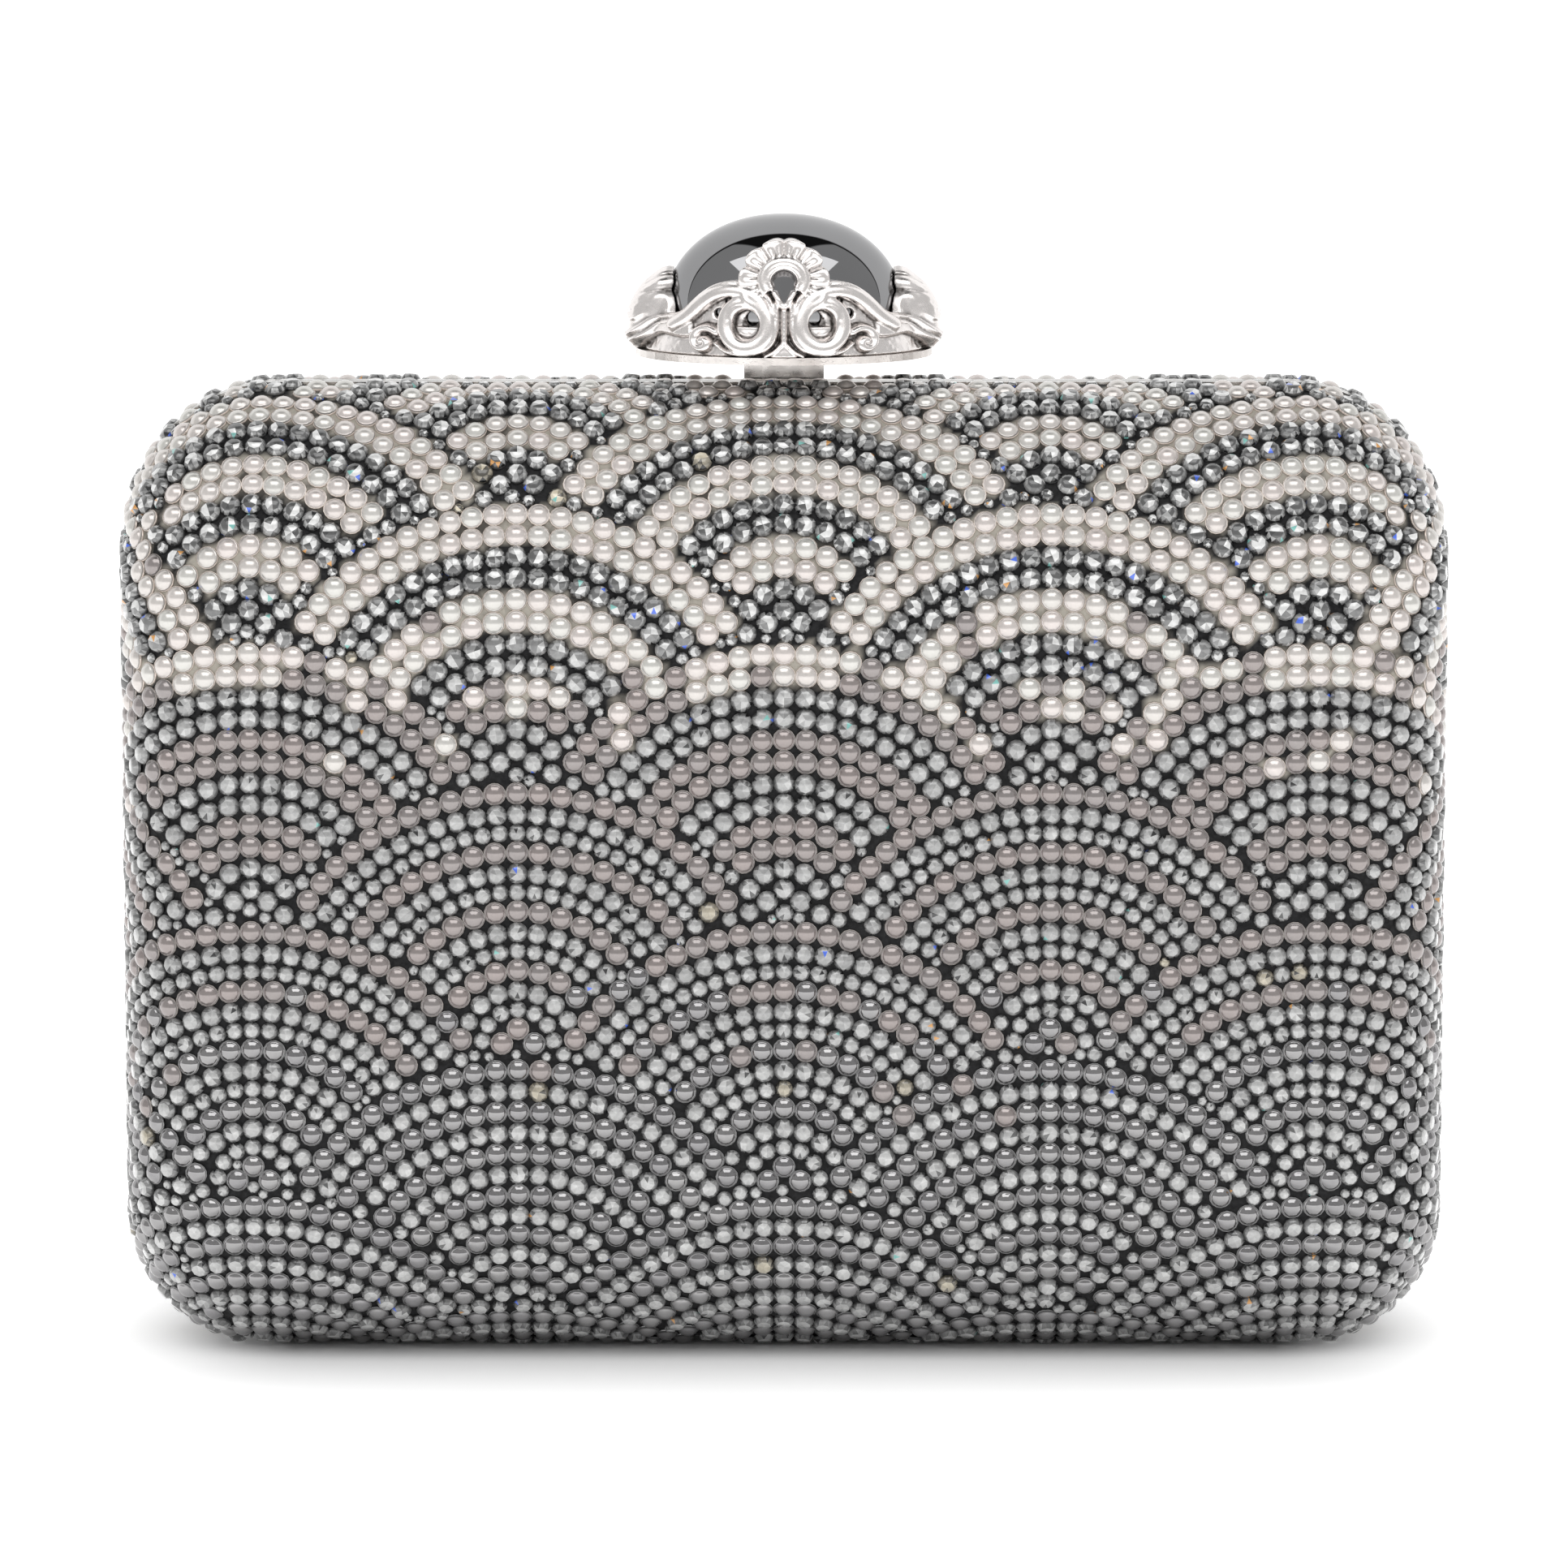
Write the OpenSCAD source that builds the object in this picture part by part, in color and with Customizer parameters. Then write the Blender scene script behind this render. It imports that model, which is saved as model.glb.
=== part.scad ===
// Minaudiere: a hard evening case in two halves, hinged along its bottom edge,
// covered in set stones and closed by a press knob with an oval cabochon.
// The case stands on its bottom, +Z is up, and its front faces -Y.
// The origin is at the middle of the face it stands on.

/* [Case] */
// Width of the closed case over its stones
case_w = 166; // [150:1:182]
// Height of the closed case over its stones, without the knob
case_h = 122; // [110:1:134]
// Depth of the closed case over its stones, front to back
case_d = 48; // [44:1:56]
// Corner radius of the outline at the top
top_corner_r = 20; // [16:0.5:24]
// Corner radius of the outline at the bottom
bottom_corner_r = 18; // [15:0.5:22]
// Corner radius of the flat middle of each face
face_corner_r = 14; // [10:0.5:18]
// How far the rounding reaches over the face from each side
side_round = 18; // [14:0.5:24]
// How far the rounding reaches down from the top
top_round = 32; // [26:1:38]
// How far the rounding reaches up from the bottom
bottom_round = 28; // [24:1:34]
// How much of the round bottom is cut off flat, so that the case stands
base_cut = 1.6; // [1.4:0.1:2]
// Squareness of the rounding at the sides
side_squareness = 3.5; // [2.6:0.1:4]
// Squareness of the rounding at the top
top_squareness = 2; // [1.9:0.1:2.4]
// Squareness of the rounding at the bottom
bottom_squareness = 2.2; // [2:0.1:2.6]

/* [Walls] */
// Thickness of the layer of set stones and its glue
stone_t = 1.3; // [1.1:0.05:1.6]
// Depth of the hollows between the rises of the stones' coarse relief
relief_h = 0.5; // [0.4:0.05:0.6]
// Thickness of the pressed metal shell
shell_t = 0.8; // [0.6:0.05:1.1]
// Thickness of the leather lining
lining_t = 1; // [0.8:0.05:1.2]
// Glue line between the layers
glue_gap = 0.05; // [0.04:0.01:0.08]

/* [Mouth] */
// Gap between the two closed rims
mouth_gap = 0.2; // [0.15:0.01:0.3]
// Thickness of each rim, front to back
rim_t = 1.6; // [1.4:0.05:1.8]
// How far the rims lie inside the stones
rim_inset = 0.7; // [0.5:0.05:0.9]
// Width of the front rim's band
rim_w = 3.9; // [3.6:0.05:4.3]
// Thickness of the back rim's nesting lip
lip_t = 0.9; // [0.7:0.05:1.1]
// How far the lip reaches into the front half
lip_h = 2.4; // [2:0.1:2.8]
// Side gap between the lip and the front rim
lip_gap = 0.3; // [0.25:0.01:0.4]
// Height at which the lip begins on each side
lip_foot = 24; // [22:1:30]
// Height at which the rims end above the hinge channel
rim_foot = 5; // [4.6:0.1:6]

/* [Hinge] */
// Length of the row of knuckles
hinge_len = 112; // [100:1:118]
// Number of knuckles, every second one on the back leaf
knuckle_count = 15; // [11:2:17]
// Outer radius of a knuckle
knuckle_r = 1.8; // [1.65:0.05:1.9]
// Radius of the hinge pin
pin_r = 0.8; // [0.7:0.05:0.9]
// Running clearance round the pin
pin_fit = 0.05; // [0.03:0.01:0.08]
// Height of the knuckles above the surface that the case stands on
knuckle_lift = 0.2; // [0.15:0.01:0.3]
// Gap between neighbouring knuckles, and between a knuckle and the other leaf
knuckle_gap = 0.3; // [0.25:0.01:0.4]
// Half width of the channel that the knuckles lie in
channel_half = 3.2; // [3.1:0.05:3.5]
// Radius of the peened heads on the pin
pin_head_r = 1.3; // [1.2:0.05:1.5]
// Thickness of a peened head
pin_head_t = 0.5; // [0.4:0.05:0.7]
// Thickness of each leaf
leaf_t = 0.8; // [0.7:0.05:0.9]
// Gap between the end of each leaf and the end of the shell's flat bottom
leaf_edge_gap = 0.7; // [0.5:0.05:1]
// Number of rivets in each leaf
rivet_count = 6; // [4:1:8]
// Radius of a rivet's shank
rivet_r = 0.7; // [0.6:0.05:0.8]
// Radius of a rivet's head
rivet_head_r = 1.3; // [1.2:0.05:1.5]
// Thickness of a rivet's head
rivet_head_t = 0.6; // [0.5:0.05:0.8]
// Clearance of fixed shanks in their holes
shank_fit = 0.03; // [0.02:0.01:0.05]

/* [Stem and guide] */
// Width of the flat stem
stem_w = 10; // [9:0.5:11]
// Thickness of the flat stem
stem_t = 1.6; // [1.4:0.05:1.8]
// Sliding clearance of the stem in its guide
stem_fit = 0.15; // [0.1:0.01:0.2]
// Clearance of the stem in the slot through the shell
slot_gap = 0.3; // [0.25:0.01:0.4]
// How far the stem's foot stands out at each side
foot_out = 1.5; // [1.2:0.1:1.8]
// Height of the stem's foot
foot_h = 2.9; // [2.6:0.1:3.2]
// Gap between the foot and the guide above it, and the spring below it
foot_gap = 0.1; // [0.08:0.01:0.15]
// Length of the stem that is peened over the crown's plate
peen_h = 0.4; // [0.3:0.05:0.5]
// Width of the guide block
guide_w = 16; // [15:0.5:18]
// Height of the guide block
guide_h = 5; // [4.6:0.1:5.4]
// Wall of the guide in front of the stem
guide_front_t = 0.7; // [0.6:0.05:0.9]
// Wall of the guide behind the stem
guide_back_t = 1.1; // [1:0.05:1.3]
// Gap between the guide and the shell above it
guide_gap = 0.1; // [0.08:0.01:0.15]
// Width of each of the guide's ears
ear_w = 4.2; // [3.8:0.1:4.6]
// Thickness of the ears
ear_t = 1.3; // [1.1:0.05:1.4]
// Height of the ears
ear_h = 3.6; // [3.4:0.1:4]
// Radius of the guide screws' shanks
screw_r = 0.8; // [0.7:0.05:0.9]
// Radius of the guide screws' heads
screw_head_r = 1.5; // [1.3:0.05:1.6]
// Thickness of the guide screws' heads
screw_head_t = 0.9; // [0.7:0.05:1]
// Depth of the screws in the back rim
screw_bite = 1.2; // [1:0.05:1.25]
// Width of the screwdriver slots
driver_slot_w = 0.4; // [0.3:0.05:0.5]
// Depth of the screwdriver slots
driver_slot_h = 0.35; // [0.3:0.05:0.4]

/* [Catch] */
// Thickness of the spring strip
strip_t = 0.35; // [0.3:0.01:0.4]
// Width of the spring strip
strip_w = 6; // [5.6:0.1:7]
// Height of the tooth above the arm
tooth_h = 2.4; // [2.2:0.1:2.6]
// How much of the tooth the striker rests behind
catch_depth = 1.2; // [1:0.1:1.3]
// Gap between the tooth and the striker
tooth_gap = 0.25; // [0.2:0.01:0.3]
// Distance of the strip's top below the top of the guide
strip_drop = 0.6; // [0.4:0.05:0.8]
// Thickness of the striker plate
striker_t = 0.8; // [0.7:0.05:0.9]
// Width of the striker plate
striker_w = 8; // [7.6:0.1:9]
// Width of the front rim's tab that carries the striker
striker_tab_w = 14; // [12:0.5:15]
// Gap between the striker's top and the shell's lining
striker_drop = 1.8; // [1.6:0.1:2.2]
// Radius of the small rivets' shanks
small_rivet_r = 0.5; // [0.4:0.05:0.55]
// Radius of the small rivets' heads
small_head_r = 0.95; // [0.85:0.05:1]
// Thickness of the small rivets' heads
small_head_t = 0.4; // [0.3:0.05:0.5]
// Depth of the small rivets in what carries them
small_bite = 0.8; // [0.7:0.05:0.9]
// Distance of the small rivets from the middle
small_rivet_x = 1.9; // [1.7:0.1:2]

/* [Crown] */
// Gap between the crown's plate and the top of the case
crown_lift = 2.3; // [2.1:0.05:2.6]
// Thickness of the crown's plate
plate_t = 0.9; // [0.8:0.05:1.1]
// Length of the crown's foot
crown_w = 36.8; // [35.6:0.2:39]
// Depth of the crown's foot, front to back
crown_d = 27.4; // [26.6:0.2:29]
// How far the crown's plate stands out under its foot
plate_out = 0.2; // [0.1:0.05:0.3]
// Height of the crown's wall above its plate
crown_h = 4.6; // [4.3:0.1:5]
// Thickness of the crown's wall at the foot
crown_wall = 1.2; // [1:0.05:1.3]
// Width of the ledge under the cabochon
ledge_w = 1.6; // [1.4:0.1:1.8]
// Thickness of the ledge
ledge_t = 0.8; // [0.7:0.05:1]
// Clearance round the cabochon
cab_fit = 0.12; // [0.1:0.01:0.15]
// Length of the cabochon
cab_w = 30; // [29:0.2:30.6]
// Depth of the cabochon, front to back
cab_d = 22; // [21:0.2:22.4]
// Height of the cabochon's dome above its girdle
cab_dome_h = 12.2; // [11.4:0.1:12.8]
// Height of the cabochon's straight girdle
cab_girdle_h = 0.8; // [0.6:0.05:1]
// Radius of each large scroll
scroll_r = 4.2; // [3.9:0.05:4.4]
// Radius of the eye in each large scroll
scroll_eye_r = 1.9; // [1.6:0.05:2.1]
// Distance of the scrolls from the middle
scroll_x = 4.3; // [4.1:0.05:4.5]
// Thickness of the scroll panels
scroll_t = 3; // [2.8:0.1:3.4]
// How far the scroll panels stand out of the wall
scroll_out = 0.9; // [0.7:0.05:1.1]
// Radius of the small scrolls
curl_r = 1.7; // [1.5:0.05:1.9]
// Distance of the small scrolls from the middle
curl_x = 9.6; // [9.3:0.05:9.9]
// Radius of a palmette without its petals
palm_r = 4; // [3.7:0.05:4.3]
// Radius of a petal's tip
petal_r = 1; // [0.9:0.05:1.1]
// Number of petals
petal_count = 9; // [7:1:9]
// Thickness of a palmette
palm_t = 1.5; // [1.4:0.05:1.7]
// Height of the front and back palmettes' middle above the plate
palm_z = 8.2; // [7.8:0.1:8.6]
// Height of the end palmettes' middle above the plate
end_palm_z = 6; // [5.6:0.1:6.4]
// Lean of the palmettes over the cabochon, in degrees
palm_lean = 20; // [17:0.5:22]
// Radius of the window in a palmette
window_r = 1.5; // [1.3:0.05:1.7]
// Radius of the crown screws' shanks
crown_screw_r = 0.8; // [0.7:0.05:0.85]
// Radius of the crown screws' heads
crown_screw_head_r = 1.5; // [1.4:0.05:1.6]
// Wall of the bosses round the crown screws
boss_wall = 0.8; // [0.7:0.05:0.9]

/* [Hidden] */
$fn = 48;

// Steps round each corner of the outline, and from the mouth to the face
corner_steps = 8;
depth_steps = 12;
// Steps of the stones' relief round the edge, over the face and along its middle
relief_round_steps = 9;
relief_face_steps = 7;
relief_middle_steps = 14;
relief_columns = 2*(relief_round_steps + relief_face_steps) + relief_middle_steps;
relief_rows = 2*(relief_round_steps + relief_face_steps);
// Its rings as shares of the turn from the mouth to the face, closer where it turns flat
relief_turn_shares = concat(
    [for (i = [0 : relief_round_steps - 2]) i/(relief_round_steps - 1)],
    [1 - 1/(2*(relief_round_steps - 1)), 1]
);
// The ring that lies where the flat bottom ends
relief_edge_step = 2;
// Steps round the crown's ovals
oval_steps = 48;
// Overrun of all cuts
over = 1;

// The layers, as distances in from the surface of the stones
shell_in = stone_t + glue_gap;
shell_bare = shell_in + shell_t;
lining_in = shell_bare + glue_gap;
lining_bare = lining_in + lining_t;

// The mouth
mouth_y = mouth_gap/2 + rim_t;
front_rim_in = rim_inset + rim_w;
lip_in = front_rim_in + lip_gap;
back_rim_in = lip_in + lip_t;

// The hinge
axis_z = knuckle_lift + knuckle_r;
knuckle_pitch = hinge_len/knuckle_count;
link_y = knuckle_r + knuckle_gap;
leaf_z1 = shell_bare + leaf_t;
leaf_reach = flat_edge(shell_bare) - leaf_edge_gap;
rivet_y = (channel_half + leaf_reach)/2 + glue_gap;
rivet_pitch = hinge_len/rivet_count;

// The stem and its guide
stem_y0 = mouth_y + guide_front_t + stem_fit;
stem_y1 = stem_y0 + stem_t;
stem_y = (stem_y0 + stem_y1)/2;
guide_y1 = stem_y1 + stem_fit + guide_back_t;
guide_z1 = shell_top(guide_y1) - guide_gap;
guide_z0 = guide_z1 - guide_h;
foot_z1 = guide_z0 - foot_gap;
foot_z0 = foot_z1 - foot_h;
guide_screw_x = guide_w/2 + ear_w/2;
guide_screw_z = guide_z0 + ear_h/2;

// The catch
arm_z1 = foot_z0 - foot_gap;
arm_z0 = arm_z1 - strip_t;
strip_y1 = guide_y1 + strip_t;
striker_y0 = -mouth_y - striker_t;
tooth_y1 = striker_y0 - tooth_gap;
tooth_y0 = tooth_y1 - strip_t;
tooth_z1 = arm_z1 + tooth_h;
striker_z0 = tooth_z1 - catch_depth;
striker_z1 = case_h - lining_bare - striker_drop;
catch_rivet_z = guide_z0 + guide_h/2;
striker_rivet_z = (guide_z0 + striker_z1)/2;

// The crown
plate_z0 = case_h + crown_lift;
plate_z1 = plate_z0 + plate_t;
rail_z = plate_z1 + crown_h;
ledge_z1 = rail_z - cab_girdle_h - cab_fit;
ledge_z0 = ledge_z1 - ledge_t;
seat_z = ledge_z1 + glue_gap;
girdle_z = seat_z + cab_girdle_h;
seat_a = cab_w/2 + cab_fit;
seat_b = cab_d/2 + cab_fit;
rail_a = seat_a + crown_wall;
rail_b = seat_b + crown_wall;
crown_screw_x = seat_a - ledge_w/2 + glue_gap;
boss_r = crown_screw_r + boss_wall;
plate_a = crown_w/2 + plate_out;
plate_b = crown_d/2 + plate_out;
wall_lean = atan((crown_d/2 - rail_b)/crown_h);
// Share of a scroll's radius at which the shoulder meets its top
shoulder_share = 0.7;
// Angle of a palmette's first petal, and the sweep of them all
fan_start = -12;
fan_sweep = 204;
// Size of the end palmettes as a share of the others
end_palm_share = 0.9;
// Where the middle of a palmette's inner face stands, just outside the dome
palm_y = cab_d/2 + cab_fit*2;
end_palm_x = cab_w/2 + cab_fit*4;

// Share of a rounding's reach that is used up at a share of the depth
function lift(depth_share, squareness) =
    1 - pow(max(0, 1 - pow(depth_share, squareness)), 1/squareness);
function mix(from, to, share) = from + (to - from)*share;

// Height of the shell's bare inner face at the top, at a distance from the middle
function shell_top(y) =
    case_h - shell_bare
    - (top_round - shell_bare)*lift(y/(case_d/2 - shell_bare), top_squareness);

// Distance from the middle at which the flat bottom of a layer ends
function flat_edge(inset) =
    let (cut_share = base_cut/(bottom_round - inset))
    (case_d/2 - inset)*pow(1 - pow(1 - cut_share, bottom_squareness), 1/bottom_squareness);

// One rounded corner of an outline, never lower than the flat bottom of its layer
function corner(x, z, r, start, y, inset) = [
    for (i = [0 : corner_steps])
        let (a = start + 90*i/corner_steps)
        [x + r*cos(a), y, max(inset, z + r*sin(a))]
];

// Half width, bottom, top and the corner radii at the bottom and the top
// of a layer's outline at a distance y from the middle of the case
function outline_sizes(inset, y) =
    let (
        depth_share = min(1, y/(case_d/2 - inset)),
        face_share = lift(depth_share, 2)
    )
    [
        case_w/2 - inset - (side_round - inset)*lift(depth_share, side_squareness),
        inset - base_cut + (bottom_round - inset)*lift(depth_share, bottom_squareness),
        case_h - inset - (top_round - inset)*lift(depth_share, top_squareness),
        mix(bottom_corner_r - inset, face_corner_r, face_share),
        mix(top_corner_r - inset, face_corner_r, face_share)
    ];

// The closed outline of a layer at a distance y from the middle of the case
function outline(inset, y) =
    let (
        sizes = outline_sizes(inset, y),
        half_w = sizes[0],
        z0 = sizes[1],
        z1 = sizes[2],
        r0 = sizes[3],
        r1 = sizes[4]
    )
    concat(
        corner(half_w - r1, z1 - r1, r1, 0, y, inset),
        corner(r1 - half_w, z1 - r1, r1, 90, y, inset),
        corner(r0 - half_w, z0 + r0, r0, 180, y, inset),
        corner(half_w - r0, z0 + r0, r0, 270, y, inset)
    );

// Depths of the outlines, closer together where the face turns flat,
// with one more where the flat bottom ends
function depths(inset, y0) =
    let (
        half_d = case_d/2 - inset,
        start = asin(y0/half_d),
        steps = concat([for (i = [0 : depth_steps - 1]) i], [depth_steps - 0.5, depth_steps]),
        ys = [for (s = steps) half_d*sin(mix(start, 90, s/depth_steps))],
        edge = flat_edge(inset)
    )
    concat([for (y = ys) if (y < edge) y], [edge], [for (y = ys) if (y > edge) y]);

// A solid through a row of closed rings with the same number of points
module rings_solid(rings) {
    count = len(rings[0]);
    last = len(rings) - 1;
    sides = [
        for (k = [0 : last - 1], i = [0 : count - 1])
            let (j = (i + 1) % count, a = k*count, b = a + count)
            each [[a + i, a + j, b + j], [a + i, b + j, b + i]]
    ];
    near = [for (i = [count - 1 : -1 : 0]) i];
    far = [for (i = [0 : count - 1]) last*count + i];
    polyhedron([for (ring = rings) each ring], concat([near], sides, [far]));
}

// A solid half of the case, the given distance inside its surface
module half_form(inset, y0) {
    rings_solid([for (y = depths(inset, y0)) outline(inset, y)]);
}

// The point at an angle on a round corner, which is its centre and its radius
function on_corner(corner, angle) =
    [corner[0] + corner[2]*cos(angle), corner[1] + corner[2]*sin(angle)];

// Distance from the middle of one ring of the relief
function relief_y(step, inset) =
    let (half_d = case_d/2 - inset, start = asin(mouth_y/half_d))
    step == relief_edge_step ? flat_edge(inset)
        : half_d*sin(mix(start, 90, relief_turn_shares[min(step, relief_round_steps)]));

// The four corners of one ring of the relief, from the lower left on
function relief_corners(step, inset) =
    let (
        sizes = outline_sizes(inset, relief_y(step, inset)),
        face_share = max(0, step - relief_round_steps)/relief_face_steps,
        drawn_in = face_share*(sizes[2] - sizes[1])/2,
        half_w = sizes[0] - drawn_in,
        z0 = sizes[1] + drawn_in,
        z1 = sizes[2] - drawn_in,
        r0 = sizes[3]*(1 - face_share),
        r1 = sizes[4]*(1 - face_share)
    )
    [
        [r0 - half_w, z0 + r0, r0],
        [half_w - r0, z0 + r0, r0],
        [half_w - r1, z1 - r1, r1],
        [r1 - half_w, z1 - r1, r1]
    ];

// A point at a share of the way from the middle of one corner to that of the next
function relief_way(corners, side, share) =
    let (
        from = corners[side],
        to = corners[(side + 1) % 4],
        facing = 270 + 90*side,
        start = on_corner(from, facing),
        end = on_corner(to, facing),
        run = norm(end - start),
        turn = PI/4*from[2],
        way = share*(turn + run + PI/4*to[2])
    )
    way < turn ? on_corner(from, facing - 45 + 45*way/turn)
    : way <= turn + run ? mix(start, end, (way - turn)/run)
    : on_corner(to, facing + 180/PI*(way - turn - run)/to[2]);

// The ring on which the point in column i and row k of the relief lies
function relief_step(i, k) = min(i, k, relief_columns - i, relief_rows - k);

// The point in column i and row k of the relief, at an inset
function relief_at(i, k, inset) =
    let (
        step = relief_step(i, k),
        corners = relief_corners(step, inset),
        wide = relief_columns - 2*step,
        tall = relief_rows - 2*step,
        place = k == step ? relief_way(corners, 0, (i - step)/wide)
            : i == relief_columns - step ? relief_way(corners, 1, (k - step)/tall)
            : k == relief_rows - step ? relief_way(corners, 2, (relief_columns - step - i)/wide)
            : relief_way(corners, 3, (relief_rows - step - k)/tall)
    )
    [place[0], relief_y(step, inset), max(0, place[1])];

// The outside of a half with the coarse relief of its stones: rises with hollows between
// them, but for the edge of the mouth and the flat bottom, which stay plain
module relief_form() {
    rows = relief_rows + 1;
    points = [
        for (i = [0 : relief_columns], k = [0 : relief_rows])
            let (
                rise = relief_at(i, k, 0),
                plain = (i + k) % 2 == 1 || relief_step(i, k) == 0 || rise[2] == 0
            )
            plain ? rise : relief_at(i, k, relief_h)
    ];
    cells = [
        for (i = [0 : relief_columns - 1], k = [0 : relief_rows - 1])
            let (a = i*rows + k, b = a + rows)
            each (i + k) % 2 == 0
                ? [[a, b + 1, a + 1], [a, b, b + 1]]
                : [[a, b, a + 1], [b, b + 1, a + 1]]
    ];
    mouth = concat(
        [for (k = [0 : relief_rows]) k],
        [for (i = [1 : relief_columns]) i*rows + relief_rows],
        [for (k = [relief_rows - 1 : -1 : 0]) relief_columns*rows + k],
        [for (i = [relief_columns - 1 : -1 : 1]) i*rows]
    );
    polyhedron(points, concat(cells, [mouth]));
}

// The layer of stones on a half, open at the mouth
module stone_layer() {
    difference() {
        relief_form();
        half_form(stone_t, mouth_y - over/2);
        hinge_channel();
    }
}

// One layer of a half, open at the mouth
module layer(outer, inner) {
    difference() {
        half_form(outer, mouth_y);
        half_form(inner, mouth_y - over/2);
        hinge_channel();
    }
}

// A box between two corners
module slab(from, to) {
    translate(from) cube(to - from);
}

// A flat shape drawn in the XZ plane, from y0 to y1
module plate_y(y0, y1) {
    translate([0, y1, 0]) rotate([90, 0, 0]) linear_extrude(y1 - y0) children();
}

// A round bar along Y
module bar_y(x, z, y0, y1, r) {
    translate([x, y0, z]) rotate([-90, 0, 0]) cylinder(r = r, h = y1 - y0);
}

// The two bars of the guide's screws, or the holes for them
module guide_screw_bars(y0, y1, r) {
    for (side = [-1, 1]) bar_y(side*guide_screw_x, guide_screw_z, y0, y1, r);
}

// Two bars of small rivets, or the holes for them
module small_rivet_bars(z, y0, y1, r) {
    for (side = [-1, 1]) bar_y(side*small_rivet_x, z, y0, y1, r);
}

// A round bar along X on the hinge axis
module bar_x(x0, x1, r) {
    translate([x0, 0, axis_z]) rotate([0, 90, 0]) cylinder(r = r, h = x1 - x0);
}

// The outline of the case at its mouth, drawn flat
module mouth_outline(inset) {
    half_w = case_w/2 - inset;
    r1 = top_corner_r - inset;
    r0 = bottom_corner_r - inset;
    z1 = case_h - inset;
    z0 = inset - base_cut;
    for (side = [-1, 1]) {
        translate([side*(half_w - r1), z1 - r1]) circle(r1);
        translate([side*(half_w - r0), z0 + r0]) circle(r0);
    }
    translate([-half_w, z0 + r0]) square([2*half_w, z1 - r1 - z0 - r0]);
    translate([r1 - half_w, z0 + r0]) square([2*(half_w - r1), z1 - z0 - r0]);
    translate([r0 - half_w, z0]) square([2*(half_w - r0), r0 + over]);
}

// A band round the mouth, open at the bottom where the hinge lies
module mouth_band(outer, inner, foot) {
    flat_half = case_w/2 - bottom_corner_r;
    difference() {
        mouth_outline(outer);
        mouth_outline(inner);
        translate([-case_w/2, -base_cut]) square([case_w, foot + base_cut]);
        translate([-flat_half, -base_cut]) square([2*flat_half, back_rim_in + base_cut + over]);
    }
}

// The channel along the bottom edge that the knuckles turn in
module hinge_channel() {
    slab([-case_w/2 - over, -channel_half, -over], [case_w/2 + over, channel_half, rim_foot]);
}

// Places along the hinge, for the rivets of one leaf
module at_rivets() {
    for (i = [0 : rivet_count - 1]) {
        translate([-hinge_len/2 + rivet_pitch*(i + 0.5), rivet_y, 0]) children();
    }
}

// The slot through the top of the back half, for the stem
module stem_slot() {
    slab(
        [-stem_w/2 - slot_gap, mouth_y - over, guide_z1],
        [stem_w/2 + slot_gap, stem_y1 + slot_gap, case_h + over]
    );
}

module rivet_holes() {
    at_rivets() cylinder(r = rivet_r + shank_fit, h = leaf_z1 + over);
}

module shell() {
    difference() {
        layer(shell_in, shell_bare);
        rivet_holes();
    }
}

module lining() {
    leaf_gap = knuckle_gap;
    difference() {
        layer(lining_in, lining_bare);
        slab(
            [-hinge_len/2 - leaf_gap, 0, 0],
            [hinge_len/2 + leaf_gap, leaf_reach + leaf_gap, leaf_z1 + over]
        );
    }
}

// Half of the hinge: a plate with every second knuckle, starting with the given one
module hinge_leaf(first) {
    difference() {
        union() {
            slab([-hinge_len/2, link_y, shell_bare], [hinge_len/2, leaf_reach, leaf_z1]);
            for (i = [first : 2 : knuckle_count - 1]) {
                x0 = -hinge_len/2 + knuckle_pitch*i + knuckle_gap/2;
                x1 = x0 + knuckle_pitch - knuckle_gap;
                bar_x(x0, x1, knuckle_r);
                slab([x0, 0, shell_bare], [x1, link_y, leaf_z1]);
            }
        }
        bar_x(-hinge_len/2 - over, hinge_len/2 + over, pin_r + pin_fit);
        rivet_holes();
    }
}

module leaf_rivets() {
    at_rivets() {
        translate([0, 0, shell_in]) cylinder(r = rivet_r, h = leaf_z1 - shell_in);
        translate([0, 0, leaf_z1]) cylinder(r1 = rivet_head_r, r2 = rivet_r, h = rivet_head_t);
    }
}

// An oval solid through a list of [height, half length, half depth]
module oval_solid(sections) {
    rings_solid([
        for (s = sections) [
            for (i = [0 : oval_steps - 1])
                let (a = -360*i/oval_steps)
                [s[1]*cos(a), stem_y + s[2]*sin(a), s[0]]
        ]
    ]);
}

// The cabochon, or the room for it, grown by a gap
module cabochon_form(gap) {
    dome_steps = 8;
    oval_solid(concat(
        [[seat_z - gap, cab_w/2 + gap, cab_d/2 + gap]],
        [
            for (i = [0 : dome_steps])
                let (a = 90*i/dome_steps, s = max(cos(a), 1/(4*dome_steps)))
                [girdle_z + (cab_dome_h + gap)*sin(a), (cab_w/2 + gap)*s, (cab_d/2 + gap)*s]
        ]
    ));
}

// A scalloped fan with a pear-shaped window, standing in the XZ plane
module palmette(y0, y1, share) {
    fan_r = palm_r*share;
    tip_r = petal_r*share;
    eye_r = window_r*share;
    plate_y(y0, y1) difference() {
        union() {
            circle(fan_r);
            for (i = [0 : petal_count - 1]) {
                a = fan_start + fan_sweep*i/(petal_count - 1);
                translate([fan_r*cos(a), fan_r*sin(a)]) circle(tip_r);
            }
        }
        circle(eye_r);
        polygon([[-eye_r, 0], [eye_r, 0], [0, -2*eye_r]]);
    }
}

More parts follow.
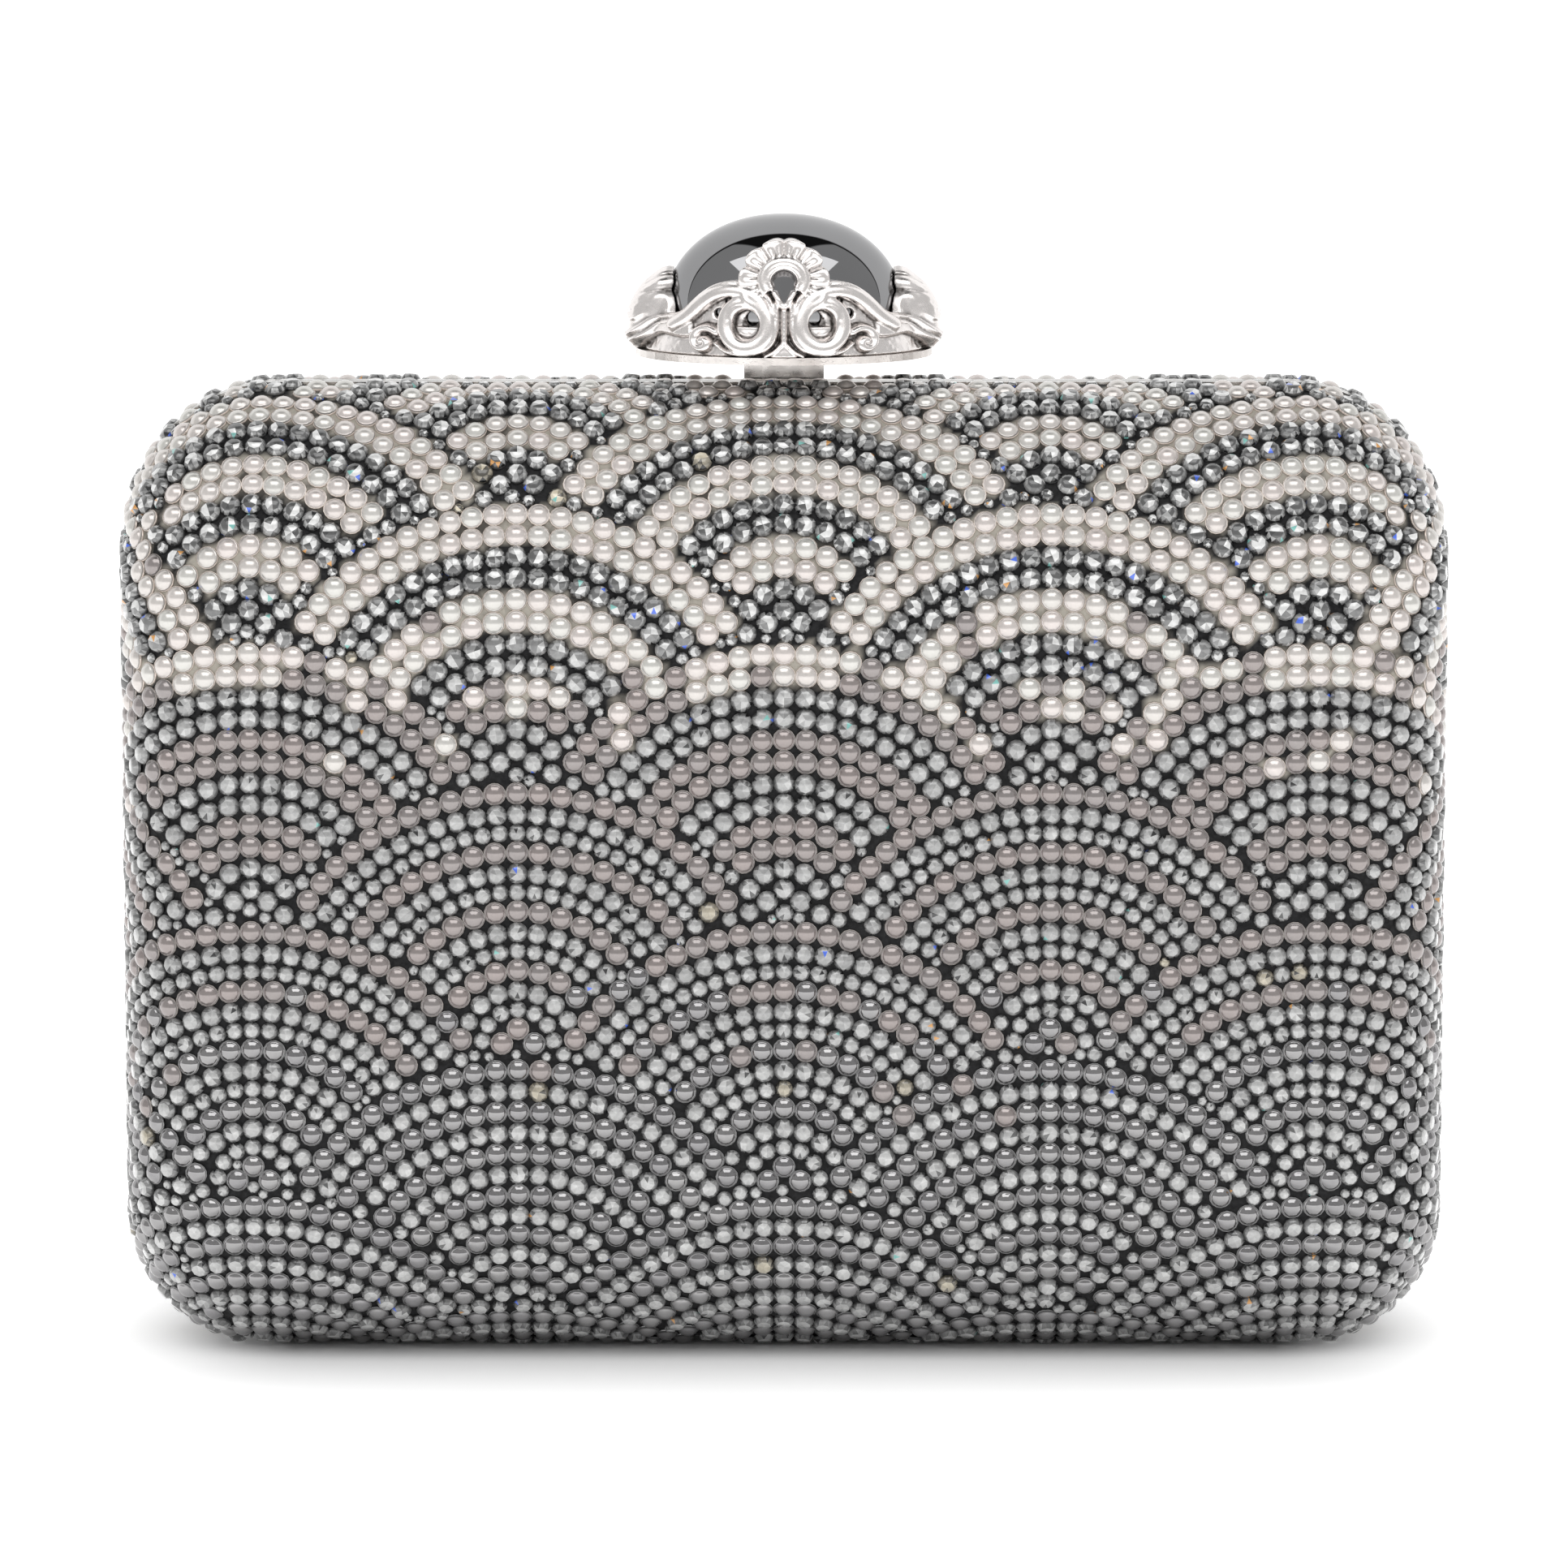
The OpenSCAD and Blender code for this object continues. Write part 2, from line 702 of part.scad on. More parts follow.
// The scrolls and shoulders of the crown's front, standing in the XZ plane
module scroll_panel() {
    panel_h = crown_h + cab_girdle_h;
    plate_y(-scroll_out, scroll_t - scroll_out) difference() {
        union() {
            for (side = [-1, 1]) {
                translate([side*scroll_x, scroll_r]) circle(scroll_r);
                translate([side*curl_x, curl_r]) circle(curl_r);
            }
            polygon([
                [-curl_x - curl_r, 0], [curl_x + curl_r, 0],
                [curl_x + curl_r, curl_r], [scroll_x + scroll_r*shoulder_share, panel_h],
                [-scroll_x - scroll_r*shoulder_share, panel_h], [-curl_x - curl_r, curl_r]
            ]);
        }
        for (side = [-1, 1]) {
            translate([side*scroll_x, scroll_r]) circle(scroll_eye_r);
            translate([side*curl_x, curl_r]) circle(curl_r/3);
        }
    }
}

// Puts a piece drawn at the front of the crown at its front and its back
module front_and_back(y, z, lean) {
    for (turn = [0, 180]) {
        translate([0, stem_y, z]) rotate([0, 0, turn]) translate([0, -y, 0])
            rotate([-lean, 0, 0]) children();
    }
}

// Puts a piece drawn at the front at the crown's two ends
module at_ends(x, z, lean) {
    for (turn = [90, 270]) {
        translate([0, stem_y, z]) rotate([0, 0, turn]) translate([0, -x, 0])
            rotate([-lean, 0, 0]) children();
    }
}

// Where the two crown screws stand
module at_crown_screws() {
    for (side = [-1, 1]) {
        translate([side*crown_screw_x, stem_y, 0]) children();
    }
}

// Back half

module back_shell() {
    color([0.72, 0.7, 0.66]) difference() {
        shell();
        stem_slot();
    }
}

module back_stones() {
    color([0.62, 0.6, 0.6]) difference() {
        stone_layer();
        stem_slot();
    }
}

module back_rim() {
    tab_half = guide_w/2 + ear_w;
    color([0.8, 0.79, 0.77]) difference() {
        union() {
            plate_y(mouth_gap/2, mouth_y) union() {
                mouth_band(rim_inset, back_rim_in, rim_foot);
                translate([-tab_half, guide_z0]) square([2*tab_half, case_h - back_rim_in - guide_z0 + over]);
            }
            plate_y(-lip_h, mouth_gap/2) difference() {
                mouth_band(lip_in, back_rim_in, lip_foot);
                translate([-tab_half, guide_z0]) square([2*tab_half, case_h - guide_z0]);
            }
        }
        guide_screw_bars(mouth_y - screw_bite, mouth_y + over, screw_r + shank_fit);
    }
}

module back_lining() {
    room = guide_w/2 + ear_w + over;
    color([0.62, 0.56, 0.54]) difference() {
        lining();
        slab([-room, 0, arm_z0], [room, strip_y1 + small_head_t + over, case_h]);
    }
}

module hinge_leaf_back() {
    color([0.75, 0.74, 0.72]) hinge_leaf(0);
}

module hinge_rivets_back() {
    color([0.85, 0.84, 0.82]) leaf_rivets();
}

module hinge_pin() {
    color([0.6, 0.6, 0.6]) {
        bar_x(-hinge_len/2, hinge_len/2, pin_r);
        bar_x(-hinge_len/2 - pin_head_t, -hinge_len/2, pin_head_r);
        bar_x(hinge_len/2, hinge_len/2 + pin_head_t, pin_head_r);
    }
}

module latch_guide() {
    slot_half = stem_w/2 + stem_fit;
    ear_half = guide_w/2 + ear_w;
    color([0.7, 0.69, 0.66]) difference() {
        union() {
            slab([-guide_w/2, mouth_y, guide_z0], [guide_w/2, guide_y1, guide_z1]);
            slab([-ear_half, mouth_y, guide_z0], [ear_half, mouth_y + ear_t, guide_z0 + ear_h]);
        }
        slab(
            [-slot_half, stem_y0 - stem_fit, guide_z0 - over],
            [slot_half, stem_y1 + stem_fit, guide_z1 + over]
        );
        guide_screw_bars(mouth_y - over, mouth_y + ear_t + over, screw_r + shank_fit);
        small_rivet_bars(catch_rivet_z, guide_y1 - small_bite, guide_y1 + over, small_rivet_r + shank_fit);
    }
}

module latch_guide_screws() {
    head_y = mouth_y + ear_t;
    color([0.8, 0.8, 0.78]) difference() {
        union() {
            guide_screw_bars(mouth_y - screw_bite, head_y, screw_r);
            guide_screw_bars(head_y, head_y + screw_head_t, screw_head_r);
        }
        for (side = [-1, 1]) {
            translate([side*guide_screw_x, head_y + screw_head_t, guide_screw_z])
                cube([driver_slot_w, 2*driver_slot_h, 2*screw_head_r + over], center = true);
        }
    }
}

module catch_spring() {
    color([0.55, 0.56, 0.58]) difference() {
        union() {
            slab([-strip_w/2, guide_y1, arm_z0], [strip_w/2, strip_y1, guide_z1 - strip_drop]);
            slab([-strip_w/2, tooth_y0, arm_z0], [strip_w/2, guide_y1, arm_z1]);
            slab([-strip_w/2, tooth_y0, arm_z1], [strip_w/2, tooth_y1, tooth_z1]);
        }
        small_rivet_bars(catch_rivet_z, guide_y1 - over, strip_y1 + over, small_rivet_r + shank_fit);
    }
}

module catch_rivets() {
    color([0.8, 0.8, 0.78]) {
        small_rivet_bars(catch_rivet_z, guide_y1 - small_bite, strip_y1, small_rivet_r);
        small_rivet_bars(catch_rivet_z, strip_y1, strip_y1 + small_head_t, small_head_r);
    }
}

// Front half, drawn at the back and mirrored to the front

module front_shell() {
    color([0.72, 0.7, 0.66]) mirror([0, 1, 0]) shell();
}

module front_stones() {
    color([0.62, 0.6, 0.6]) mirror([0, 1, 0]) stone_layer();
}

module front_rim() {
    tab_half = striker_tab_w/2;
    color([0.8, 0.79, 0.77]) difference() {
        plate_y(-mouth_y, -mouth_gap/2) union() {
            mouth_band(rim_inset, front_rim_in, rim_foot);
            translate([-tab_half, guide_z0]) square([2*tab_half, case_h - front_rim_in - guide_z0 + over]);
        }
        small_rivet_bars(striker_rivet_z, -mouth_y - over, small_bite - mouth_y, small_rivet_r + shank_fit);
    }
}

module front_lining() {
    color([0.62, 0.56, 0.54]) mirror([0, 1, 0]) lining();
}

module hinge_leaf_front() {
    color([0.75, 0.74, 0.72]) mirror([0, 1, 0]) hinge_leaf(1);
}

module hinge_rivets_front() {
    color([0.85, 0.84, 0.82]) mirror([0, 1, 0]) leaf_rivets();
}

module striker_plate() {
    color([0.7, 0.7, 0.7]) difference() {
        slab([-striker_w/2, striker_y0, striker_z0], [striker_w/2, -mouth_y, striker_z1]);
        small_rivet_bars(striker_rivet_z, striker_y0 - over, over - mouth_y, small_rivet_r + shank_fit);
    }
}

module striker_rivets() {
    color([0.8, 0.8, 0.78]) {
        small_rivet_bars(striker_rivet_z, striker_y0, small_bite - mouth_y, small_rivet_r);
        small_rivet_bars(striker_rivet_z, striker_y0 - small_head_t, striker_y0, small_head_r);
    }
}

// Press knob

module stem() {
    foot_half = stem_w/2 + foot_out;
    color([0.84, 0.82, 0.8]) union() {
        slab([-stem_w/2, stem_y0, foot_z1], [stem_w/2, stem_y1, plate_z1 + peen_h]);
        slab([-foot_half, stem_y0, foot_z0], [foot_half, stem_y1, foot_z1]);
    }
}

module crown_plate() {
    color([0.8, 0.78, 0.76]) difference() {
        translate([0, stem_y, plate_z0]) linear_extrude(plate_t) polygon([
            for (i = [0 : oval_steps - 1])
                let (a = 360*i/oval_steps)
                [plate_a*cos(a), plate_b*sin(a)]
        ]);
        slab(
            [-stem_w/2 - shank_fit, stem_y0 - shank_fit, plate_z0 - over],
            [stem_w/2 + shank_fit, stem_y1 + shank_fit, plate_z1 + over]
        );
        at_crown_screws() {
            translate([0, 0, plate_z0 - over]) cylinder(r = crown_screw_r + shank_fit, h = plate_t + 2*over);
            translate([0, 0, plate_z0]) cylinder(
                r1 = crown_screw_head_r + shank_fit, r2 = crown_screw_r + shank_fit, h = plate_t
            );
        }
    }
}

module crown() {
    foot_a = crown_w/2;
    foot_b = crown_d/2;
    color([0.88, 0.86, 0.84]) difference() {
        union() {
            oval_solid([[plate_z1, foot_a, foot_b], [rail_z, rail_a, rail_b]]);
            front_and_back(foot_b, plate_z1, wall_lean) scroll_panel();
            front_and_back(palm_y, plate_z1 + palm_z, palm_lean) palmette(-palm_t, 0, 1);
            at_ends(end_palm_x, plate_z1 + end_palm_z, palm_lean) palmette(-palm_t, 0, end_palm_share);
        }
        difference() {
            oval_solid([
                [plate_z1 - over, foot_a - crown_wall, foot_b - crown_wall],
                [ledge_z0, seat_a - ledge_w/4, seat_b - ledge_w/4]
            ]);
            at_crown_screws() translate([0, 0, plate_z1]) cylinder(r = boss_r, h = crown_h);
        }
        oval_solid([
            [ledge_z0 - over, seat_a - ledge_w, seat_b - ledge_w],
            [ledge_z1 + over, seat_a - ledge_w, seat_b - ledge_w]
        ]);
        cabochon_form(cab_fit);
        slab([-crown_w, -crown_d, plate_z0 - over], [crown_w, crown_d + stem_y, plate_z1]);
        at_crown_screws() translate([0, 0, plate_z1 - over])
            cylinder(r = crown_screw_r + shank_fit, h = ledge_z0 - plate_z1 + over);
    }
}

module crown_screws() {
    color([0.8, 0.8, 0.78]) at_crown_screws() difference() {
        union() {
            translate([0, 0, plate_z0]) cylinder(r1 = crown_screw_head_r, r2 = crown_screw_r, h = plate_t);
            translate([0, 0, plate_z1]) cylinder(r = crown_screw_r, h = ledge_z0 - plate_z1 - foot_gap);
        }
        translate([0, 0, plate_z0])
            cube([driver_slot_w, 3*crown_screw_head_r, 2*driver_slot_h], center = true);
    }
}

module cabochon() {
    color([0.08, 0.08, 0.09]) cabochon_form(0);
}

back_shell();
back_stones();
back_rim();
back_lining();
hinge_leaf_back();
hinge_rivets_back();
hinge_pin();
latch_guide();
latch_guide_screws();
catch_spring();
catch_rivets();
front_shell();
front_stones();
front_rim();
front_lining();
hinge_leaf_front();
hinge_rivets_front();
striker_plate();
striker_rivets();
stem();
crown_plate();
crown();
crown_screws();
cabochon();
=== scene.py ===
# %% [markdown]
# # A jewelled evening case
# A minaudiere is a small hard evening case. Two pressed metal halves meet at a
# flat mouth, turn on a hinge along the bottom edge and are closed by a press knob.
# Outside it is set all over with half pearls and cut crystals.
# The fixed frame comes first: its nodes say where everything is and how it moves,
# so nothing here is placed by eye.

# %% Load the frame
import math
from itertools import product

import bpy
import numpy as np
import openvdb
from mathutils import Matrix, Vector
from mathutils.kdtree import KDTree


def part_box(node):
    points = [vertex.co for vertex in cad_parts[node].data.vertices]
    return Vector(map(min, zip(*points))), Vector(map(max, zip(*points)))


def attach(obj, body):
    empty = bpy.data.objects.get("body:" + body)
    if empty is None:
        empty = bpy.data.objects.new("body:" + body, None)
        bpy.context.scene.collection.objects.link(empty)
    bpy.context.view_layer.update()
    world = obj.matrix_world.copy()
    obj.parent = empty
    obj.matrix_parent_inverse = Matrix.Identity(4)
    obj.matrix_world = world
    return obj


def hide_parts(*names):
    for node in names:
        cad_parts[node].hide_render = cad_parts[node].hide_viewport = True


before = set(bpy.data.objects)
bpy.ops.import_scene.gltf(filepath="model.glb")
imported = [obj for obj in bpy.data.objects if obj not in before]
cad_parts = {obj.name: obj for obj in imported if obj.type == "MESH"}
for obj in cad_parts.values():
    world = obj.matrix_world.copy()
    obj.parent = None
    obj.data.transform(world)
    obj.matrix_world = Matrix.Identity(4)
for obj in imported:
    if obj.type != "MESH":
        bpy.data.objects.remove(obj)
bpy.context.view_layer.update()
MM = 0.001

# %% [markdown]
# ## The form of the case
# Each half is a pillow: its outline is a rounded rectangle that grows from the
# flat face to the mouth. It could be sculpted, but a few sizes give the same
# surface at any distance inside the tops of the stones. The glue that the stones
# sit in is such a surface.

# %% Sizes of the case, in millimetres
front_low, front_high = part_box("front_stones")
case_w = (front_high.x - front_low.x)/MM
case_h = 122.0
case_d = -2*front_low.y/MM
mouth_y = -front_high.y/MM
top_corner_r, bottom_corner_r, face_corner_r = 20.0, 18.0, 14.0
side_round, top_round, bottom_round, base_cut = 18.0, 32.0, 28.0, 1.6
side_square, top_square, bottom_square = 3.5, 2.0, 2.2
glue_in, glue_t = 0.95, 0.03
print("case", round(case_w, 2), round(case_h, 2), round(case_d, 2), "mouth", round(mouth_y, 2))


def lift(share, squareness):
    """Share of a rounding's reach that is used up at a share of the depth."""
    return 1 - np.maximum(0, 1 - share**squareness)**(1/squareness)


def outline_sizes(y, inset):
    """Half width, top, bottom and corner radii of the outline at a distance y from the mouth's plane."""
    share = np.minimum(1, y/(case_d/2 - inset))
    half_w = case_w/2 - inset - (side_round - inset)*lift(share, side_square)
    top = case_h - inset - (top_round - inset)*lift(share, top_square)
    bottom = inset - base_cut + (bottom_round - inset)*lift(share, bottom_square)
    face_share = lift(share, 2)
    top_r = (top_corner_r - inset)*(1 - face_share) + face_corner_r*face_share
    bottom_r = (bottom_corner_r - inset)*(1 - face_share) + face_corner_r*face_share
    return half_w, top, bottom, top_r, bottom_r


# %% [markdown]
# ## A flat plan of the surface
# A setter works row by row over a curved surface, but rows are easiest to draw
# on a flat plan. The plan is the face at true size, grown on each side by the
# true length of the rounding. Straight stretches keep their lengths and only the
# four corners are squeezed, which is where a real setter has to skip stones too.

# %% Plan of the surface
class Plan:
    """The surface at one inset, and the way from a point of the flat plan to it."""

    def __init__(self, inset, steps=500):
        self.inset, self.last = inset, steps - 1
        self.half_d = case_d/2 - inset
        angle = np.linspace(math.pi/2, math.asin(mouth_y/self.half_d), steps)
        y = self.half_d*np.sin(angle)
        half_w, top, bottom, top_r, bottom_r = outline_sizes(y, inset)
        shown = np.maximum(bottom, inset)
        wide = half_w[0] + self.run(half_w, y)
        high = top[0] + self.run(top, y)
        low = bottom[0] - self.run(shown, y)
        self.table = dict(
            y=y, half_w=half_w, top=top, bottom=bottom, top_r=top_r, bottom_r=bottom_r,
            wide=wide, high=high, low=low,
            top_x=half_w - top_r, top_z=top - top_r,
            bottom_x=half_w - bottom_r, bottom_z=bottom + bottom_r)

    def run(self, along, y):
        return np.concatenate([[0], np.cumsum(np.hypot(np.diff(along), np.diff(y)))])

    def at(self, place, *names):
        index = np.arange(self.last + 1)
        return [np.interp(place, index, self.table[name]) for name in names]

    def inside(self, u, v, place):
        """Whether a point of the plan lies inside the outline with this number."""
        wide, high, low, tx, tz, bx, bz = self.at(
            place, "wide", "high", "low", "top_x", "top_z", "bottom_x", "bottom_z")
        top = np.hypot(np.maximum(0, u - tx)/(wide - tx), np.maximum(0, v - tz)/(high - tz))
        bottom = np.hypot(np.maximum(0, u - bx)/(wide - bx), np.maximum(0, bz - v)/(bz - low))
        return (top <= 1) & (bottom <= 1)

    def points(self, u, v):
        """Points of the surface of the front half, in millimetres, for points of the plan."""
        a = np.abs(u)
        near, far = np.zeros_like(a), np.full_like(a, self.last)
        for _ in range(22):
            middle = (near + far)/2
            within = self.inside(a, v, middle)
            far = np.where(within, middle, far)
            near = np.where(within, near, middle)
        y, half_w, top, bottom, tr, br, wide, high, low, tx, tz, bx, bz = self.at(
            far, "y", "half_w", "top", "bottom", "top_r", "bottom_r", "wide", "high", "low",
            "top_x", "top_z", "bottom_x", "bottom_z")
        x, z = np.where(v > tz, a, half_w), np.where(v > tz, top, v)
        x, z = np.where(v < bz, np.minimum(a, bx), x), np.where(v < bz, bottom, z)
        for way, cx, cz, r, end in ((1, tx, tz, tr, high), (-1, bx, bz, br, low)):
            turn = np.arctan2((v - cz)/(end - cz), (a - cx)/(wide - cx))
            corner = (a > cx) & (way*v > way*cz)
            x = np.where(corner, cx + r*np.cos(turn), x)
            z = np.where(corner, cz + way*r*np.sin(turn), z)
        on_face = self.inside(a, v, np.zeros_like(a))
        x, z = np.where(on_face, a, x), np.where(on_face, v, z)
        y = np.where(on_face, self.half_d, y)
        return np.stack([np.sign(u)*x, -y, np.maximum(self.inset, z)], -1)

    def points_and_normals(self, u, v):
        step = 0.05
        along = self.points(u + step, v) - self.points(u - step, v)
        up = self.points(u, v + step) - self.points(u, v - step)
        normal = np.cross(along, up)
        size = np.linalg.norm(normal, axis=-1, keepdims=True)
        return self.points(u, v), normal/np.maximum(size, 1e-9)


ground = Plan(glue_in)
plan_w, plan_top, plan_low = (ground.table[k][-1] for k in ("wide", "high", "low"))
print("plan: half width", round(plan_w, 1), "from", round(plan_low, 1), "to", round(plan_top, 1))

# %% [markdown]
# ## Where the stones sit
# The layout is the old fish-scale pattern: arches in staggered rows, each filled
# with smaller arches. Every arch is a row of stones. Stones scattered at random
# would show no rows, so each row is walked in short steps, and a stone is set
# wherever it has room, as a setter does by hand. The outer arches come first so
# that they stay unbroken. Crystals of falling size then fill the gaps.

# %% Stone sizes and rows
pearl_d, small_d, smaller_d, smallest_d = 2.8, 2.0, 1.6, 1.3
scale_r, scale_step, first_scale = 33.0, 17.4, -46.0
rows_above = (
    (84, (("pearl", pearl_d), ("pearl", pearl_d), ("crystal", 2.7), ("crystal", 2.7))),
    (40, (("pearl", pearl_d), ("crystal", 2.6), ("crystal", 2.2))),
    (-99, (("pearl", pearl_d), ("crystal", 2.6))))
row_closeness, row_gap, least_row_r = 0.965, 0.02, 1.2


def scale_rows(centre_v):
    """Kind, diameter and radius of each row in a scale, from its edge inwards."""
    unit = next(rows for height, rows in rows_above if centre_v + scale_r > height)
    rows, radius, before = [], scale_r - pearl_d/2, None
    while True:
        kind, d = unit[len(rows) % len(unit)]
        if before is not None:
            radius -= row_closeness*(d + before)/2 + row_gap
        if radius < least_row_r:
            return rows
        rows.append((kind, d, radius))
        before = d


scales = []
row_number, centre_v = 0, first_scale
while centre_v - scale_r < plan_top:
    shift = scale_r if row_number % 2 else 0.0
    for i in range(-3, 4):
        if abs(2*scale_r*i + shift) < plan_w + scale_r:
            scales.append((row_number, 2*scale_r*i + shift, centre_v))
    row_number, centre_v = row_number + 1, centre_v + scale_step
print(len(scales), "scales in", row_number, "rows")


def owner(u, v):
    """Number of the scale that shows at a point of the plan: the lowest row lies in front."""
    shown = np.full(u.shape, -1)
    for number in range(len(scales) - 1, -1, -1):
        _, cu, cv = scales[number]
        shown = np.where(np.hypot(u - cu, v - cv) <= scale_r, number, shown)
    return shown


# %% Set the rows
rng = np.random.default_rng(7)
channel_half, channel_top = 3.2, 5.0
row_room, fill_room, gap_room = 0.955, 0.95, 0.94


def on_the_metal(p, d):
    """Whether a stone of this size lies wholly on the case, clear of the mouth and the hinge."""
    clear_of_mouth = np.abs(p[:, 1]) > mouth_y + d/2
    clear_of_hinge = (np.abs(p[:, 1]) > channel_half + d/2) | (p[:, 2] > channel_top + d/2)
    return clear_of_mouth & clear_of_hinge


class Setting:
    """The stones that are set so far, in a grid of cells so that neighbours are quick to find."""

    def __init__(self, cell=3.0):
        self.cell, self.cells, self.stones = cell, {}, []

    def key(self, p):
        return tuple(int(math.floor(c/self.cell)) for c in p)

    def has_room(self, p, d, room):
        for cell in product(*((c - 1, c, c + 1) for c in self.key(p))):
            for q, other in self.cells.get(cell, ()):
                need = room*(d + other)/2
                if (p[0] - q[0])**2 + (p[1] - q[1])**2 + (p[2] - q[2])**2 < need*need:
                    return False
        return True

    def set_along(self, p, n, d, kind, room):
        """Sets a stone at each place in turn where it lies on the metal and has room."""
        keep = on_the_metal(p, d)
        for point, normal in zip(p[keep].tolist(), n[keep].tolist()):
            if self.has_room(point, d, room):
                self.cells.setdefault(self.key(point), []).append((point, d))
                self.stones.append((point, normal, d, kind))


setting = Setting()


def walk_row(number, kind, d, radius, walk_step=0.12, margin=2):
    """Sets one row of a scale, from its top down both sides."""
    _, cu, cv = scales[number]
    for turn in (-1, 1):
        angles = math.pi/2 + turn*np.arange(0, math.pi, walk_step/radius)
        u, v = cu + radius*np.cos(angles), cv + radius*np.sin(angles)
        shown = (np.abs(u) < plan_w + margin) & (v < plan_top + margin) & (v > plan_low - margin)
        shown &= owner(u, v) == number
        if shown.any():
            setting.set_along(*ground.points_and_normals(u[shown], v[shown]), d, kind, row_room)


rows = []
for number, (_, _, centre_v) in enumerate(scales):
    rows += [(k, number, *row) for k, row in enumerate(scale_rows(centre_v))]
for k, number, kind, d, radius in sorted(rows, key=lambda row: (row[0] > 0, row[1], row[0])):
    walk_row(number, kind, d, radius)
print(len(setting.stones), "stones in rows")

# %% Fill the gaps
fill_step, fill_sizes = 0.5, (2.5, 2.3, small_d, smaller_d, smallest_d)
grid_u, grid_v = np.meshgrid(
    np.arange(-plan_w, plan_w, fill_step), np.arange(plan_low, plan_top, fill_step))
loose_u = grid_u.ravel() + rng.uniform(-fill_step/2, fill_step/2, grid_u.size)
loose_v = grid_v.ravel() + rng.uniform(-fill_step/2, fill_step/2, grid_u.size)
order = rng.permutation(loose_u.size)
loose_u, loose_v = loose_u[order], loose_v[order]
loose_p = ground.points(loose_u, loose_v)


def nearest(places, points):
    """Number of the point nearest to each place, and its distance."""
    tree = KDTree(len(points))
    for number, p in enumerate(points):
        tree.insert(p, number)
    tree.balance()
    numbers, distances = zip(*(tree.find(p)[1:] for p in places))
    return np.array(numbers), np.array(distances)


distances = nearest(loose_p.tolist(), [stone[0] for stone in setting.stones])[1]
far_enough = distances > gap_room*(smallest_d + small_d)/2
loose_u, loose_v = loose_u[far_enough], loose_v[far_enough]
loose_p, loose_n = ground.points_and_normals(loose_u, loose_v)
for d in fill_sizes:
    setting.set_along(loose_p, loose_n, d, "crystal", fill_room)
print(len(setting.stones), "stones with the gaps filled")
stone_p, stone_n, stone_d, kinds = (np.array(column) for column in zip(*setting.stones))
is_pearl = kinds == "pearl"

# %% [markdown]
# ## Shapes that repeat
# Thousands of stones share two shapes: a half pearl and a cut crystal. Each could
# be an object of its own, but one small mesh stamped at every place into one large
# mesh per kind keeps the scene light and lets each stone carry its own shade.

# %% Stamp a shape at many places
def frames_of(normals, turns):
    """Three axes for each stone: two across it, turned by its own angle, and its normal."""
    up = np.where(np.abs(normals[:, 2:3]) > 0.9, [[0.0, 1.0, 0.0]], [[0.0, 0.0, 1.0]])
    across = np.cross(up, normals)
    across /= np.linalg.norm(across, axis=1, keepdims=True)
    along = np.cross(normals, across)
    c, s = np.cos(turns)[:, None], np.sin(turns)[:, None]
    return np.stack([c*across + s*along, c*along - s*across, normals], 1)


def leaning(normals, degrees):
    """Normals with a small random lean, as no two stones are pressed down quite alike."""
    lean = normals + np.tan(math.radians(degrees))*rng.normal(0, 0.5, normals.shape)
    return lean/np.linalg.norm(lean, axis=1, keepdims=True)


def mesh_from(name, verts, loops, sizes):
    """A mesh from arrays: corners in metres, corner numbers of all faces, corners per face."""
    mesh = bpy.data.meshes.new(name)
    mesh.vertices.add(len(verts))
    mesh.vertices.foreach_set("co", np.asarray(verts, np.float32).ravel())
    mesh.loops.add(len(loops))
    mesh.loops.foreach_set("vertex_index", np.asarray(loops, np.int32))
    mesh.polygons.add(len(sizes))
    starts = np.concatenate([[0], np.cumsum(sizes)[:-1]])
    mesh.polygons.foreach_set("loop_start", starts.astype(np.int32))
    mesh.update(calc_edges=True)
    return mesh


def new_object(name, data):
    """Puts a mesh, a lamp or a camera in the scene."""
    made = bpy.data.objects.new(name, data)
    bpy.context.scene.collection.objects.link(made)
    return made


def new_piece(mesh, material, body, slot, *nodes):
    """Puts a mesh in the scene under its own name, riding on a body and standing for the named nodes."""
    mesh.materials.append(material)
    piece = new_object(mesh.name, mesh)
    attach(piece, body)
    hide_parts(*nodes)
    return piece


def stamped(name, verts, faces, places, axes, sizes):
    """One mesh with a copy of a unit shape at each place."""
    verts, count = np.asarray(verts), len(places)
    points = places[:, None, :] + sizes[:, None, None]*np.einsum("vk,nkj->nvj", verts, axes)
    loops = np.concatenate([np.asarray(face) for face in faces])
    all_loops = (loops[None, :] + len(verts)*np.arange(count)[:, None]).ravel()
    face_sizes = np.tile([len(face) for face in faces], count)
    return mesh_from(name, points.reshape(-1, 3)*MM, all_loops, face_sizes)


def store(mesh, name, values, kind="FLOAT", domain="POINT"):
    """Keeps values on a mesh for its finish to read."""
    layer = mesh.attributes.new(name, kind, domain)
    values = np.asarray(values, np.float32).ravel()
    layer.data.foreach_set("color" if kind == "FLOAT_COLOR" else "value", values)


# %% [markdown]
# ## A half pearl
# A flat-backed pearl is the cap of a ball, with a thin skirt where it meets the
# glue. A squashed ball would lack the skirt, so the shape is a profile turned
# round: the skirt, then rings up the dome. It is modelled for a radius of one and
# scaled when it is stamped.

